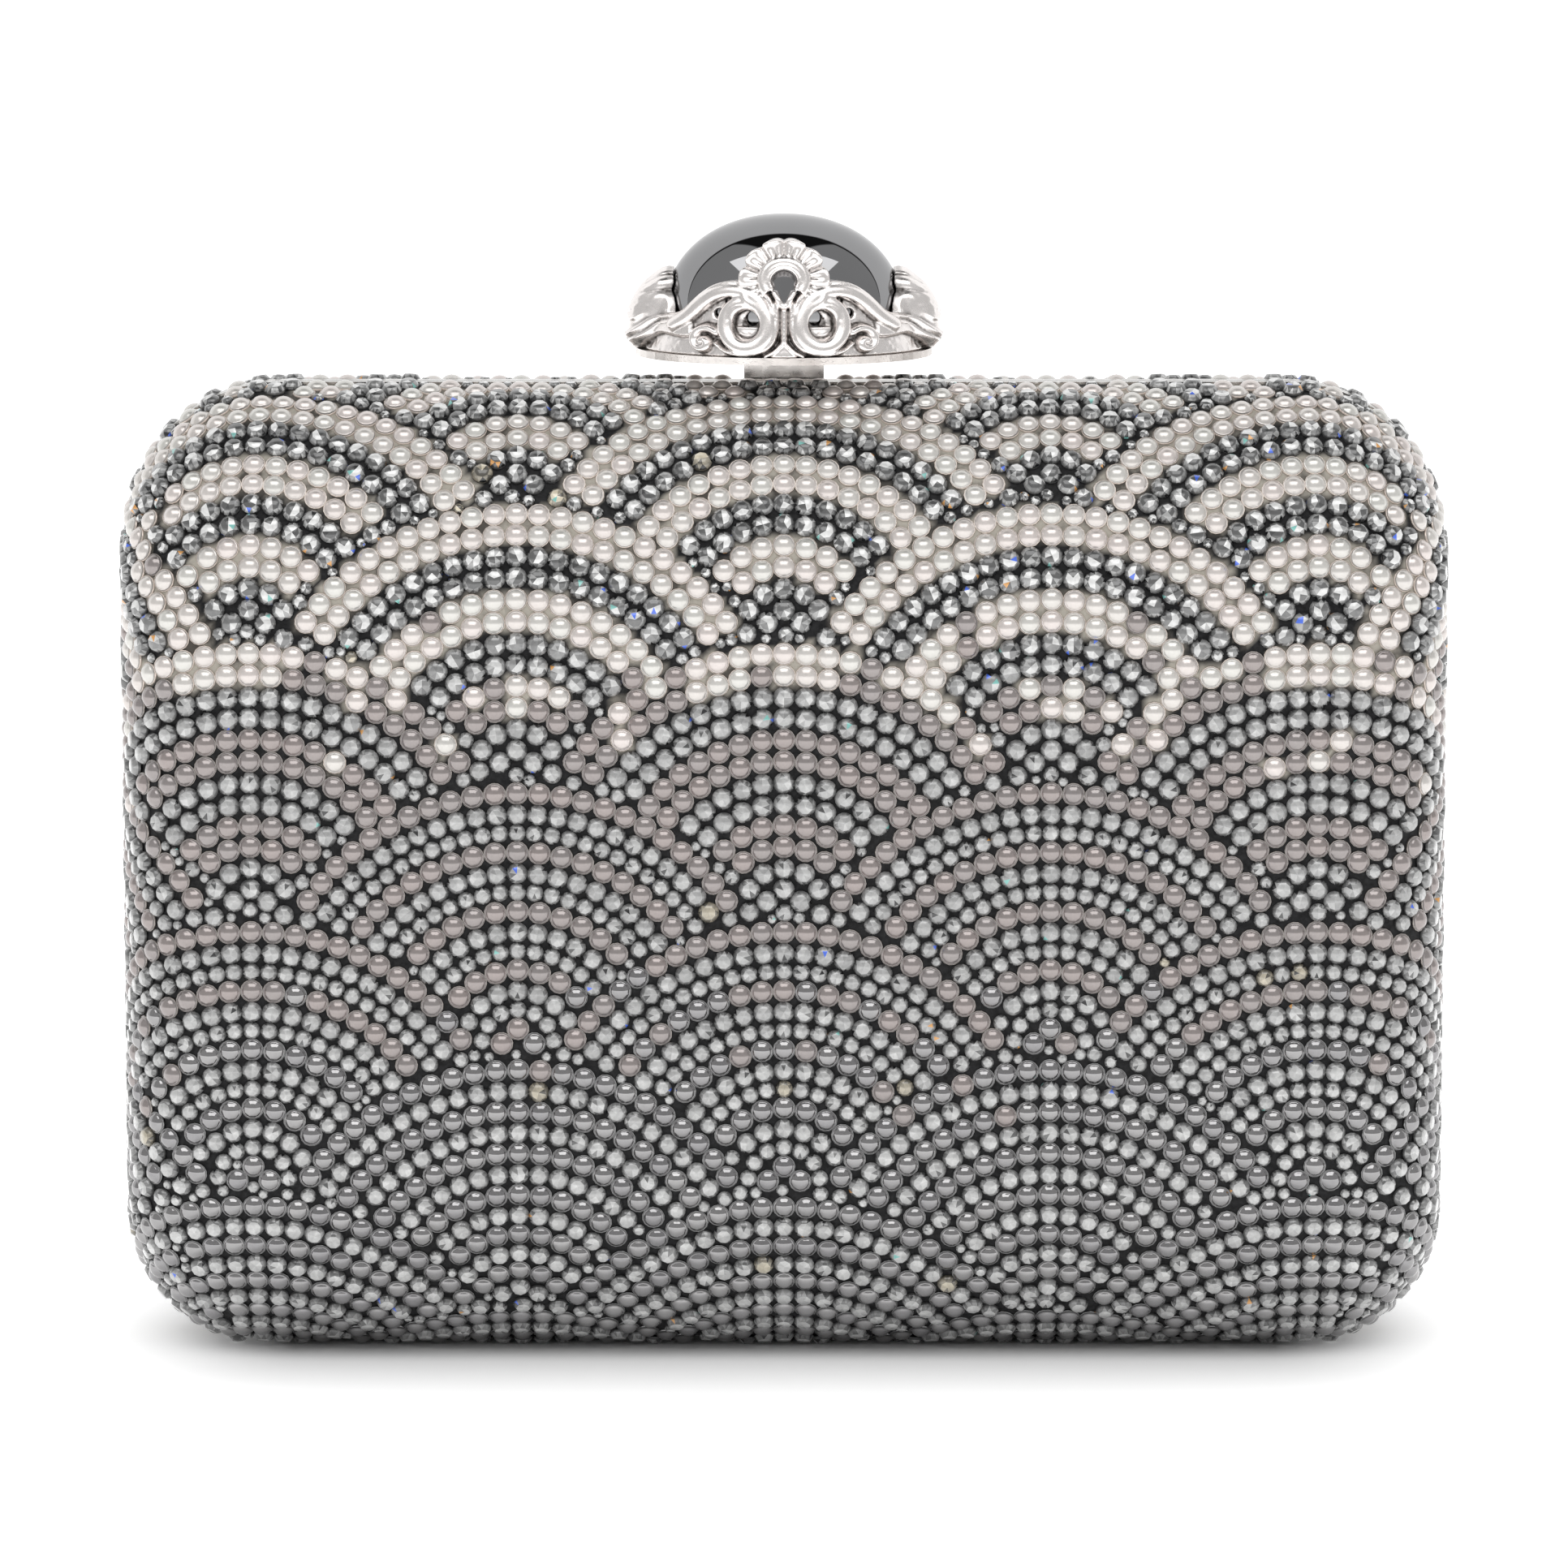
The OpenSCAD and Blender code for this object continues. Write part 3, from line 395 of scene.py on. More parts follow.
# %% Half pearl
pearl_sides, pearl_rise, dome_r, dome_z, cap_start = 14, 0.68, 0.96, 0.12, 24
pearl_profile = [(1.02, -0.02), (1.02, 0.12), (0.97, 0.15)]
pearl_shares = [0.0, 0.0, 0.0]
for degrees in (cap_start, 39, 55, 72, 90):
    angle, low = math.radians(degrees), math.radians(cap_start)
    share = (math.sin(angle) - math.sin(low))/(1 - math.sin(low))
    pearl_profile.append((dome_r*math.cos(angle)/math.cos(low), dome_z + (pearl_rise - dome_z)*share))
    pearl_shares.append(0.2 + 0.8*share)
pearl_profile.pop()
pearl_shares = np.concatenate([np.repeat(pearl_shares[:-1], pearl_sides), pearl_shares[-1:]])


def turned(profile, sides, tip):
    """A closed top turned from a profile, with its tip: corners and faces."""
    verts = [
        (r*math.cos(2*math.pi*i/sides), r*math.sin(2*math.pi*i/sides), z)
        for r, z in profile for i in range(sides)] + [(0, 0, tip)]
    faces = []
    for k in range(len(profile) - 1):
        for i in range(sides):
            j = (i + 1) % sides
            faces.append((k*sides + i, k*sides + j, (k + 1)*sides + j, (k + 1)*sides + i))
    last, top = (len(profile) - 1)*sides, len(verts) - 1
    faces += [(last + i, last + (i + 1) % sides, top) for i in range(sides)]
    return verts, faces


pearl_verts, pearl_faces = turned(pearl_profile, pearl_sides, pearl_rise)
print("half pearl:", len(pearl_verts), "corners,", len(pearl_faces), "faces")

# %% [markdown]
# ## A cut crystal
# The crystals are flat-backed too: an eight-sided table in eight fields, a crown
# of kites and triangles round it, and a low girdle. Behind a real one lies silver
# foil, so each facet shows a patch of light or dark. Refracting glass would need
# many more rays for the same patches, so every facet of every stone has its light
# or dark painted into its colour, and the gloss on top comes from the light.

# %% Cut crystal
table_r, girdle_z, table_z = 0.68, 0.24, 0.7
crystal_verts = [(0, 0, table_z)]
for i in range(8):
    angle = math.radians(45*i + 22.5)
    crystal_verts.append((table_r*math.cos(angle), table_r*math.sin(angle), table_z))
for z in (girdle_z, -0.02):
    for i in range(16):
        angle = math.radians(22.5*i)
        crystal_verts.append((math.cos(angle), math.sin(angle), z))
table_faces = [(0, 1 + i, 1 + (i + 1) % 8) for i in range(8)]
kite_faces, side_faces = [], []
for i in range(8):
    before, middle, after = 9 + 2*i, 9 + (2*i + 1) % 16, 9 + (2*i + 2) % 16
    kite_faces += [(1 + i, before, middle), (1 + i, middle, after)]
    side_faces.append((1 + i, after, 1 + (i + 1) % 8))
girdle_faces = [(9 + i, 25 + i, 25 + (i + 1) % 16, 9 + (i + 1) % 16) for i in range(16)]
crystal_faces = table_faces + kite_faces + side_faces + girdle_faces
print("crystal:", len(crystal_verts), "corners,", len(crystal_faces), "faces")


def painted_facet_light(count, contrast):
    """Painted light and shade of each facet of each stone, from 0 dark to 1 bright. Contrast is one value per
    stone.
    """
    c = contrast[:, None]
    body = rng.uniform(0.39, 0.54, (count, 1))
    calm = body + rng.normal(0, 0.04, (count, 8))
    first = rng.integers(0, 8, count)
    turn = (np.arange(8)[None, :] - first[:, None]) % 8
    lively = np.where(turn < rng.integers(2, 7, (count, 1)), 1.0, 0.05)
    lively = np.where(rng.random((count, 8)) < 0.12, 0.45, lively)
    for k in range(2):
        calm[np.arange(count), (first + k) % 8] += 0.1
    notch = rng.random(count) < 0.25
    calm[np.where(notch)[0], (first[notch] + 4) % 8] -= 0.4
    table = calm*(1 - c) + lively*c
    kites = np.repeat(rng.uniform(0.1, 0.4, (count, 8)), 2, axis=1) + rng.normal(0, 0.08, (count, 16))
    kites += c*rng.choice([-0.15, 0.0, 0.4], (count, 16), p=[0.55, 0.25, 0.2])
    sides = rng.uniform(0.12, 0.44, (count, 8))
    girdle = np.full((count, 16), 0.1)
    return np.clip(np.concatenate([table, kites, sides, girdle], 1), 0, 1)

# %% [markdown]
# ## Node helpers
# Every finish is a node tree. Effects that finishes can share are groups with
# named sockets: handling marks on metal, the shade of one pearl among many, and
# the pebbles of leather. Each material holds its own shader and its own values.

# %% Helpers for materials
def srgb(r, g, b):
    """A colour as it looks on a screen, turned into the linear values that shaders take."""
    return tuple(c/12.92 if c <= 0.04045 else ((c + 0.055)/1.055)**2.4 for c in (r, g, b)) + (1.0,)


class Nodes:
    """Adds nodes to a tree and links them, so that a finish reads from top to bottom."""

    def __init__(self, tree):
        self.tree = tree

    def set(self, socket, value):
        if isinstance(value, bpy.types.NodeSocket):
            self.tree.links.new(value, socket)
        else:
            socket.default_value = value

    def add(self, kind, inputs=None, **settings):
        """Makes a node and gives its outputs."""
        made = self.tree.nodes.new("ShaderNode" + kind)
        for name, value in settings.items():
            setattr(made, name, value)
        for name, value in (inputs or {}).items():
            self.set(made.inputs[name], value)
        return made.outputs

    def place(self):
        return self.add("TexCoord")["Object"]

    def noise(self, scale, detail, place=None, **more):
        """Clouds in the space of the object, unless another place is given."""
        place = self.place() if place is None else place
        return self.add("TexNoise", {"Vector": place, "Scale": scale, "Detail": detail, **more})["Fac"]

    def maths(self, operation, a, b=0.0):
        return self.add("Math", {0: a, 1: b}, operation=operation)[0]

    def spread(self, value, low, high, to_low=0.0, to_high=1.0):
        """Maps a value from one span to another and keeps it inside."""
        return self.add("MapRange", {"Value": value, "From Min": low, "From Max": high,
                                     "To Min": to_low, "To Max": to_high})["Result"]

    def blend(self, share, a, b):
        return self.add("Mix", {0: share, 6: a, 7: b}, data_type="RGBA")[2]

    def attribute(self, name, output="Fac"):
        return self.add("Attribute", attribute_name=name)[output]

    def bump(self, shader, height, strength, distance=0.0001):
        made = self.add("Bump", {"Height": height, "Strength": strength, "Distance": distance})
        self.set(shader["Normal"], made[0])


def new_group(name, inputs, outputs):
    """A shader node group with named sockets: its nodes, the values given and the sockets to fill."""
    tree = bpy.data.node_groups.new(name, "ShaderNodeTree")
    for label, kind, value in inputs:
        socket = tree.interface.new_socket(label, in_out="INPUT", socket_type="NodeSocket" + kind)
        socket.default_value = value
    for label, kind in outputs:
        tree.interface.new_socket(label, in_out="OUTPUT", socket_type="NodeSocket" + kind)
    return Nodes(tree), tree.nodes.new("NodeGroupInput").outputs, tree.nodes.new("NodeGroupOutput").inputs


def new_material(name, **constants):
    """A material with one Principled shader, whose plain values are set on its own sockets."""
    material = bpy.data.materials.new(name)
    material.use_nodes = True
    shader = material.node_tree.nodes["Principled BSDF"].inputs
    for label, value in constants.items():
        shader[label.replace("_", " ")].default_value = value
    return material, Nodes(material.node_tree), shader


def use_group(nodes, group, **values):
    """Places a group in a material, with this material's values."""
    inputs = {label.replace("_", " "): value for label, value in values.items()}
    return nodes.add("Group", inputs, node_tree=bpy.data.node_groups[group])


# %% Group: handling marks on metal
marks, given, out = new_group(
    "handling marks",
    [("Size", "Float", 400.0), ("Least Roughness", "Float", 0.1), ("Most Roughness", "Float", 0.3)],
    [("Roughness", "Float"), ("Height", "Float")])
place = marks.place()
cloud = marks.noise(given["Size"], 5.0, place, Roughness=0.6)
stretched = marks.add("Mapping", {"Vector": place, "Rotation": (0.5, 0.9, 0.4), "Scale": (1.0, 14.0, 5.0)})
lines = marks.spread(marks.noise(given["Size"], 3.0, stretched[0]), 0.56, 0.7)
wear = marks.maths("ADD", marks.spread(cloud, 0.35, 0.7), marks.maths("MULTIPLY", lines, 0.4))
marks.set(out["Roughness"], marks.spread(wear, 0.0, 1.4, given["Least Roughness"], given["Most Roughness"]))
marks.set(out["Height"], marks.maths("SUBTRACT", cloud, lines))

# %% Group: the grain of fine leather
leather, given, out = new_group(
    "leather grain", [("Size", "Float", 1300.0)], [("Pebbles", "Float"), ("Wear", "Float")])
place = leather.place()
pebble = leather.add("TexVoronoi", {"Vector": place, "Scale": given["Size"]}, feature="DISTANCE_TO_EDGE")
swell = leather.spread(pebble["Distance"], 0.0, 0.22)
pores = leather.maths("MULTIPLY", leather.noise(5200.0, 2.0, place), 0.25)
leather.set(out["Pebbles"], leather.maths("SUBTRACT", swell, pores))
leather.set(out["Wear"], leather.spread(leather.noise(22.0, 3.0, place, Roughness=0.5), 0.3, 0.75))

# %% Group: the shade of one pearl, with painted shade round its rim
shade, given, out = new_group(
    "pearl shade",
    [(label, "Color", (1, 1, 1, 1)) for label in ("Shade A", "Shade B", "Edge", "Skirt")],
    [("Color", "Color"), ("Height", "Float")])
bloom = shade.noise(1400.0, 3.0)
body = shade.blend(shade.attribute("shade"), given["Shade A"], given["Shade B"])
rise = shade.attribute("rise")
uneven = shade.maths("MULTIPLY", shade.maths("SUBTRACT", bloom, 0.5), 0.3)
# Painted shade: the Edge colour darkens the dome towards its rim, but not the skirt.
rim_shade_share = shade.maths("ADD", shade.spread(rise, 0.2, 0.42, 1.0, 0.0), uneven)
rim_shaded = shade.blend(rim_shade_share, body, given["Edge"])
shade.set(out["Color"], shade.blend(shade.spread(rise, 0.08, 0.12, 1.0, 0.0), rim_shaded, given["Skirt"]))
shade.set(out["Height"], bloom)

# %% [markdown]
# ## Finishes of the stones
# White pearls are warm and glossy, with painted shade round the rim of each dome
# towards the glue. Taupe pearls are the same in a greyer shade. Hematite pearls are
# small grey mirrors with a darker painted rim. All three
# are one recipe with other values, some metal under a clear coat, because real
# ones are coated too. Crystals carry painted light and shade on each facet, as
# the foil under them would show it, and a clear coat stands for the glass.

# %% Pearls, crystals and the ground under them
def pearl_material(name, a, b, edge, skirt, **constants):
    material, nodes, shader = new_material(name, **constants)
    made = use_group(
        nodes, "pearl shade", Shade_A=srgb(*a), Shade_B=srgb(*b), Edge=srgb(*edge), Skirt=srgb(*skirt))
    nodes.set(shader["Base Color"], made["Color"])
    nodes.bump(shader, made["Height"], 0.04)
    return material


# The third colour of each pearl is the painted shade at its rim.
white_pearl = pearl_material(
    "white pearl", (0.82, 0.815, 0.795), (0.835, 0.80, 0.785), (0.56, 0.53, 0.505), (0.84, 0.79, 0.75),
    Roughness=0.22, Metallic=0.42, Coat_Weight=0.7, Coat_Roughness=0.12)
taupe_pearl = pearl_material(
    "taupe pearl", (0.575, 0.55, 0.545), (0.60, 0.56, 0.55), (0.31, 0.295, 0.29), (0.60, 0.57, 0.55),
    Roughness=0.18, Metallic=0.55, Coat_Weight=0.9, Coat_Roughness=0.09)
hematite_pearl = pearl_material(
    "hematite pearl", (0.61, 0.605, 0.605), (0.56, 0.555, 0.56), (0.14, 0.14, 0.14), (0.52, 0.52, 0.52),
    Roughness=0.06, Metallic=0.95, Coat_Weight=0.3, Coat_Roughness=0.02)

crystal_glass, nodes, shader = new_material(
    "cut crystal", Roughness=0.18, Metallic=0.1, Coat_Weight=1.0, Coat_Roughness=0.02, Coat_IOR=1.5)
frost = nodes.spread(nodes.noise(2600.0, 2.0), 0.35, 0.75, 0.0, 0.2)
# The facets' painted light and shade, kept on each corner.
tone = nodes.attribute("tone", "Color")
nodes.set(shader["Base Color"], nodes.blend(frost, tone, srgb(0.25, 0.26, 0.28)))

glue_ground, nodes, shader = new_material("glue ground", Roughness=0.55, Specular_IOR_Level=0.2)
# Both paints are darkened with painted shade from the stones around; the cream also falls to a dark shade in
# patches.
patches = nodes.spread(nodes.noise(260.0, 5.0), 0.45, 0.62)
lumps = nodes.noise(1500.0, 3.0)
cream_and_shade = nodes.blend(patches, srgb(0.66, 0.64, 0.60), srgb(0.30, 0.285, 0.265))
slate_and_shade = nodes.blend(nodes.spread(lumps, 0.3, 0.7), srgb(0.035, 0.035, 0.04), srgb(0.14, 0.14, 0.145))
nodes.set(shader["Base Color"], nodes.blend(nodes.attribute("light_ground"), slate_and_shade, cream_and_shade))
nodes.bump(shader, lumps, 0.5, 0.0003)

# %% [markdown]
# ## Shades over the case
# The stones run from white pearls at the top through taupe to dark hematite at the
# bottom, and the change is scattered, so that no line shows between the shades.

# %% Sort the stones and set both halves
white_above, dark_below, scatter = 84.0, 42.0, 6.0
height = stone_p[:, 2] + rng.normal(0, scatter, len(stone_p))
is_white, is_dark = is_pearl & (height > white_above), is_pearl & (height < dark_below)
is_taupe = is_pearl & ~is_white & ~is_dark
slot_half, slot_reach, slot_bottom = 5.3, 4.45, 100.0


def stones_of_half(side):
    """Places and normals of one half's stones, side 1 being the back, and which clear the stem's slot."""
    places, normals = stone_p.copy(), stone_n.copy()
    if side > 0:
        places[:, 1] *= -1
        normals[:, 1] *= -1
    in_slot = (np.abs(places[:, 0]) < slot_half + stone_d/2) & (places[:, 2] > slot_bottom)
    in_slot &= (places[:, 1] > 0) & (places[:, 1] < slot_reach + stone_d/2)
    return places, normals, ~in_slot


def set_stones(name, half, verts, faces, chosen, places, normals, lean):
    """The mesh of all stones of one kind on one half, and their number."""
    count = int(chosen.sum())
    axes = frames_of(leaning(normals[chosen], lean), rng.uniform(0, 6.28, count))
    return stamped(f"{half}_{name}", verts, faces, places[chosen], axes, stone_d[chosen]/2), count


def add_pearls(name, half, chosen, places, normals, material):
    mesh, count = set_stones(name, half, pearl_verts, pearl_faces, chosen, places, normals, 2.0)
    store(mesh, "shade", np.repeat(rng.random(count), len(pearl_verts)))
    store(mesh, "rise", np.tile(pearl_shares, count))
    mesh.shade_smooth()
    new_piece(mesh, material, half + "_half", "set_stones", half + "_stones")
    print(mesh.name, count, "pearls,", len(mesh.polygons), "faces")


shaded_facet, lit_facet, lit_cream_facet = (
    np.array(srgb(*c)) for c in ((0.03, 0.03, 0.035), (0.925, 0.925, 0.92), (0.90, 0.86, 0.77)))
glints = np.array([srgb(0.3, 0.45, 0.9), srgb(0.85, 0.62, 0.35), srgb(0.5, 0.75, 0.72)])
painted_contrast_above, painted_contrast_span, brighter_tables_below, brighter_tables_span = 78, 22, 50, 25
cream_share, glint_share, glint_share_high = 0.008, 0.0012, 0.008


def add_crystals(name, half, chosen, places, normals):
    """Crystals with painted light and shade on each facet: more contrast high up, brighter tables low down,
    here and there a painted coloured glint.
    """
    mesh, count = set_stones(name, half, crystal_verts, crystal_faces, chosen, places, normals, 4.0)
    # Painted reflection by height: stones high up get stronger painted light and dark, low ones brighter
    # painted tables.
    height = places[chosen][:, 2]
    high = np.clip((height - painted_contrast_above)/painted_contrast_span, 0, 1)
    low = np.clip((brighter_tables_below - height)/brighter_tables_span, 0, 1)
    tones = painted_facet_light(count, 0.85*high)
    tones[:, :8] += 0.12*low[:, None]
    tones = np.clip(tones, 0, 1)[:, :, None]
    light = np.where(rng.random((count, 1, 1)) < cream_share, lit_cream_facet, lit_facet)
    colours = shaded_facet*(1 - tones) + light*tones
    # Painted glints: a few facets take a coloured flash instead of their painted light, more of them high up.
    glint_facets = rng.random(tones.shape) < (glint_share + glint_share_high*high)[:, None, None]
    colours = np.where(glint_facets, glints[rng.integers(0, 3, tones.shape[:2])], colours)
    corners = np.repeat(colours, [len(face) for face in crystal_faces], axis=1)
    store(mesh, "tone", corners, "FLOAT_COLOR", "CORNER")
    new_piece(mesh, crystal_glass, half + "_half", "set_stones", half + "_stones")
    print(mesh.name, count, "crystals,", len(mesh.polygons), "faces")


crystals_split_at = 62
upper = stone_p[:, 2] > crystals_split_at
halves = (("front", -1), ("back", 1))
for half, side in halves:
    places, normals, has_room = stones_of_half(side)
    for name, chosen, material in (
            ("white_pearls", is_white, white_pearl), ("taupe_pearls", is_taupe, taupe_pearl),
            ("hematite_pearls", is_dark, hematite_pearl)):
        add_pearls(name, half, chosen & has_room, places, normals, material)
    for name, chosen in (("upper_crystals", upper), ("lower_crystals", ~upper)):
        add_crystals(name, half, ~is_pearl & chosen & has_room, places, normals)

# %% [markdown]
# ## The ground between the stones
# Under the stones lies painted glue: cream where white pearls sit, dark slate
# elsewhere, both darkened with painted shade from the stones around. A picture
# could carry that change, but here each point of a fine mesh over the same
# surface takes the colour that belongs to the nearest stone.

# %% Ground
def surface_grid(plan, pitch):
    """Points of a regular grid on the plan that lie on the surface, and the quads between them."""
    us = np.arange(-plan_w - pitch, plan_w + 2*pitch, pitch)
    gu, gv = np.meshgrid(us, np.arange(plan_low - pitch, plan_top + 2*pitch, pitch))
    points = plan.points(gu.ravel(), gv.ravel())
    beyond = ~plan.inside(np.abs(gu.ravel()), gv.ravel(), np.full(gu.size, plan.last - 0.01))
    number = np.arange(gu.size).reshape(gu.shape)
    quads = np.stack([number[:-1, :-1], number[:-1, 1:], number[1:, 1:], number[1:, :-1]], -1).reshape(-1, 4)
    in_channel = (np.abs(points[:, 1]) < channel_half) & (points[:, 2] < channel_top)
    keep = ~(beyond[quads].all(1)) & ~(in_channel[quads].any(1))
    return points, quads[keep]


ground_points, ground_quads = surface_grid(ground, 1.0)
used, ground_quads = np.unique(ground_quads, return_inverse=True)
ground_points, ground_quads = ground_points[used], ground_quads.reshape(-1, 4)
closest = nearest(ground_points.tolist(), stone_p.tolist())[0]
for half, side in halves:
    places = ground_points*np.array([1, -side, 1])
    quads = ground_quads if side < 0 else ground_quads[:, ::-1]
    mesh = mesh_from(half + "_ground", places*MM, quads.ravel(), np.full(len(quads), 4))
    store(mesh, "light_ground", is_white[closest])
    mesh.shade_smooth()
    piece = new_piece(mesh, glue_ground, half + "_half", "set_stones", half + "_stones")
    thickness = piece.modifiers.new("glue", "SOLIDIFY")
    thickness.thickness, thickness.offset = glue_t*MM, -1
    print(piece.name, len(quads), "faces")

# %% [markdown]
# ## The crown: one wall, drawn flat
# The setting of the knob is a casting: an oval wall that leans inwards, with
# scrolls and palmettes standing out of it. A modeller would roll out a strip of
# wax, carve it flat and bend it round. The same is done here. The strip is a plan
# with the way round the oval as one direction and the height as the other. It
# holds the height of the relief at each point. All four quarters are mirror images
# of one, so only one is drawn.

# %% Sizes of the crown, in millimetres
crown_low, crown_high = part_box("crown")
cab_low, cab_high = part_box("cabochon")
knob_y = (cab_low.y + cab_high.y)/2/MM
foot_z, foot_a, foot_b = crown_low.z/MM, crown_high.x/MM, 13.7
shrink_a, shrink_b = 0.452, 0.3
wall_t, ledge_w, ledge_t, cab_fit = 1.2, 1.6, 0.8, 0.12
cab_a, cab_b, cab_rise, cab_square = cab_high.x/MM, (cab_high.y - cab_low.y)/2/MM, 12.2, 2.1
absent, far_off = -9.0, 9.0
seat_z, girdle_z = cab_low.z/MM, cab_high.z/MM - cab_rise

turns = np.linspace(0, math.pi/2, 400)
mean_a, mean_b = foot_a - 1.0, foot_b - 0.7
pace = np.hypot(mean_a*np.cos(turns), mean_b*np.sin(turns))
way_round = np.concatenate([[0], np.cumsum((pace[1:] + pace[:-1])/2*np.diff(turns))])
quarter = way_round[-1]
fine, strip_h, narrowing = 0.06, 15.4, 0.0235
Q, V = np.meshgrid(np.arange(0, quarter + fine, fine), np.arange(0, strip_h, fine))
drawn_in = 1 - narrowing*V
E, Q = (quarter - Q)*drawn_in, Q*drawn_in
print("quarter of the wall", round(quarter, 2), "mm, plan", Q.shape)


def smooth_path(points, rounds=2):
    """Cuts the corners of an open line, so that a few points give a smooth one."""
    p = np.array(points, float)
    for _ in range(rounds):
        cut = np.stack([0.75*p[:-1] + 0.25*p[1:], 0.25*p[:-1] + 0.75*p[1:]], 1).reshape(-1, 2)
        p = np.concatenate([p[:1], cut, p[-1:]])
    return p


def off_path(points, q, v, rounds=2):
    """Distance of each point of the plan from a smooth line."""
    p, best = smooth_path(points, rounds), np.full(q.shape, 99.0)
    for (ax, ay), (dx, dy) in zip(p[:-1], np.diff(p, axis=0)):
        share = np.clip(((q - ax)*dx + (v - ay)*dy)/(dx*dx + dy*dy + 1e-9), 0, 1)
        best = np.minimum(best, np.hypot(q - ax - share*dx, v - ay - share*dy))
    return best


def off_oval(x, y, a, b):
    """Distance outside an oval, below zero inside."""
    share = np.sqrt((x/a)**2 + (y/b)**2)
    return (share - 1)*share/np.sqrt((x/a**2)**2 + (y/b**2)**2 + 1e-9)


def ridge(distance, half, low, high, flatness=0.5):
    """Height of a rounded band at a distance from its middle line."""
    distance = np.abs(distance)
    share = np.clip(1 - (distance/half)**2, 0, 1)
    return np.where(distance < half, low + (high - low)*share**flatness, absent)


def pear(q, v, top, half, tip):
    """Distance from the edge of a pear-shaped window, below zero inside."""
    share = np.clip((top - v)/(top - tip), 0, 1)
    return np.hypot(q, v - top + share*(top - tip)) - half*(1 - 0.9*share)


def fan(q, v, centre, reach, low):
    """Relief and outline of a palmette: petals round a raised band round a window."""
    r, angle = np.hypot(q, v - centre), np.degrees(np.arctan2(v - centre, q))
    petal = 34.0
    across = ((90 - angle) % petal)/petal*2 - 1
    bow = np.sqrt(np.clip(1 - across**2, 0, 1))
    start, band = 0.58*reach, 0.46*reach
    outward = np.clip((r - start)/(reach - start), 0, 1)
    tongue = np.clip(1 - np.abs(across)/(0.25 + 0.45*outward), 0, 1)*(outward < 0.75)
    petals = low - 0.1 + 0.8*bow - 0.6*tongue*(1 - outward) + 0.2*np.exp(-((outward - 0.85)/0.12)**2)*bow
    petals = np.where(r > start, petals, absent)
    middle = ridge(np.abs(r - band), 0.13*reach, low + 0.2, low + 0.85)
    window = pear(q, v, centre - 0.03*reach, 0.26*reach, centre - 0.52*reach)
    lip = ridge(np.abs(window - 0.35), 0.36, low + 0.1, low + 0.8)
    inner = np.where(r <= start, low, absent)
    outline = r - reach*(0.9 + 0.1*bow)
    shown = angle > -40
    relief = np.maximum(np.maximum(petals, middle), np.maximum(lip, inner))
    relief = np.where((shown & (outline < 0.1)) | (window < 0.75), relief, absent)
    return relief, np.where(shown, outline, far_off), window


def between(grid, j, i, b, a):
    """Value between four neighbours of a grid, at shares b and a of the way to the next."""
    return (1 - b)*((1 - a)*grid[j, i] + a*grid[j, i + 1]) + b*((1 - a)*grid[j + 1, i] + a*grid[j + 1, i + 1])


# %% Front and back: two large scrolls, two curls, shoulders and a palmette
edge = [(1.9, 8.0), (3.5, 9.1), (5.8, 9.5), (8.1, 9.1), (10.2, 7.8), (12.0, 6.1), (13.3, 5.1),
        (15.2, 4.8), (17.2, 4.5), (18.8, 3.1), (20.3, 2.2), (22.0, 1.8), (quarter, 1.7)]


def beside(points, offset):
    """The same line, moved to its right by an offset."""
    p = smooth_path(points)
    way = np.gradient(p, axis=0)
    way /= np.linalg.norm(way, axis=1, keepdims=True)
    return p + offset*np.stack([way[:, 1], -way[:, 0]], 1)


edge_line = smooth_path([(0.0, 8.3), (1.0, 8.2), *edge])
edge_v = np.interp(Q, edge_line[:, 0], edge_line[:, 1])
steepness = np.abs(np.gradient(edge_v, fine, axis=1))
below_edge = (edge_v - V)/np.hypot(1, steepness)
rail = [(0.9, 5.2), (1.1, 6.8), *edge]

scroll = [(14.0, 3.7), (12.0, 4.7), (9.9, 6.6), (8.0, 7.8), (5.8, 8.2), (4.0, 7.8), (2.7, 6.7), (2.05, 5.1)]
under = [(0.85, 6.8), (0.8, 5.0), (0.85, 3.2), (1.4, 1.6), (2.8, 0.6), (4.9, 0.3), (6.9, 0.65), (8.1, 1.7)]
curl = [(8.0, 3.0), (9.0, 3.5), (10.1, 3.4), (11.0, 2.7), (11.1, 1.7), (10.4, 0.95), (9.5, 1.0),
        (9.1, 1.6), (9.5, 2.1), (10.0, 1.95)]
shoulder_low = [(10.5, 2.6), (12.6, 2.1), (14.6, 2.3), (16.7, 2.5), (18.8, 1.5), (21.0, 0.2), (quarter, -0.4)]
eye_q, eye_v, eye_half, eye_tall = 4.4, 4.0, 1.5, 1.75
ring_half = 0.98

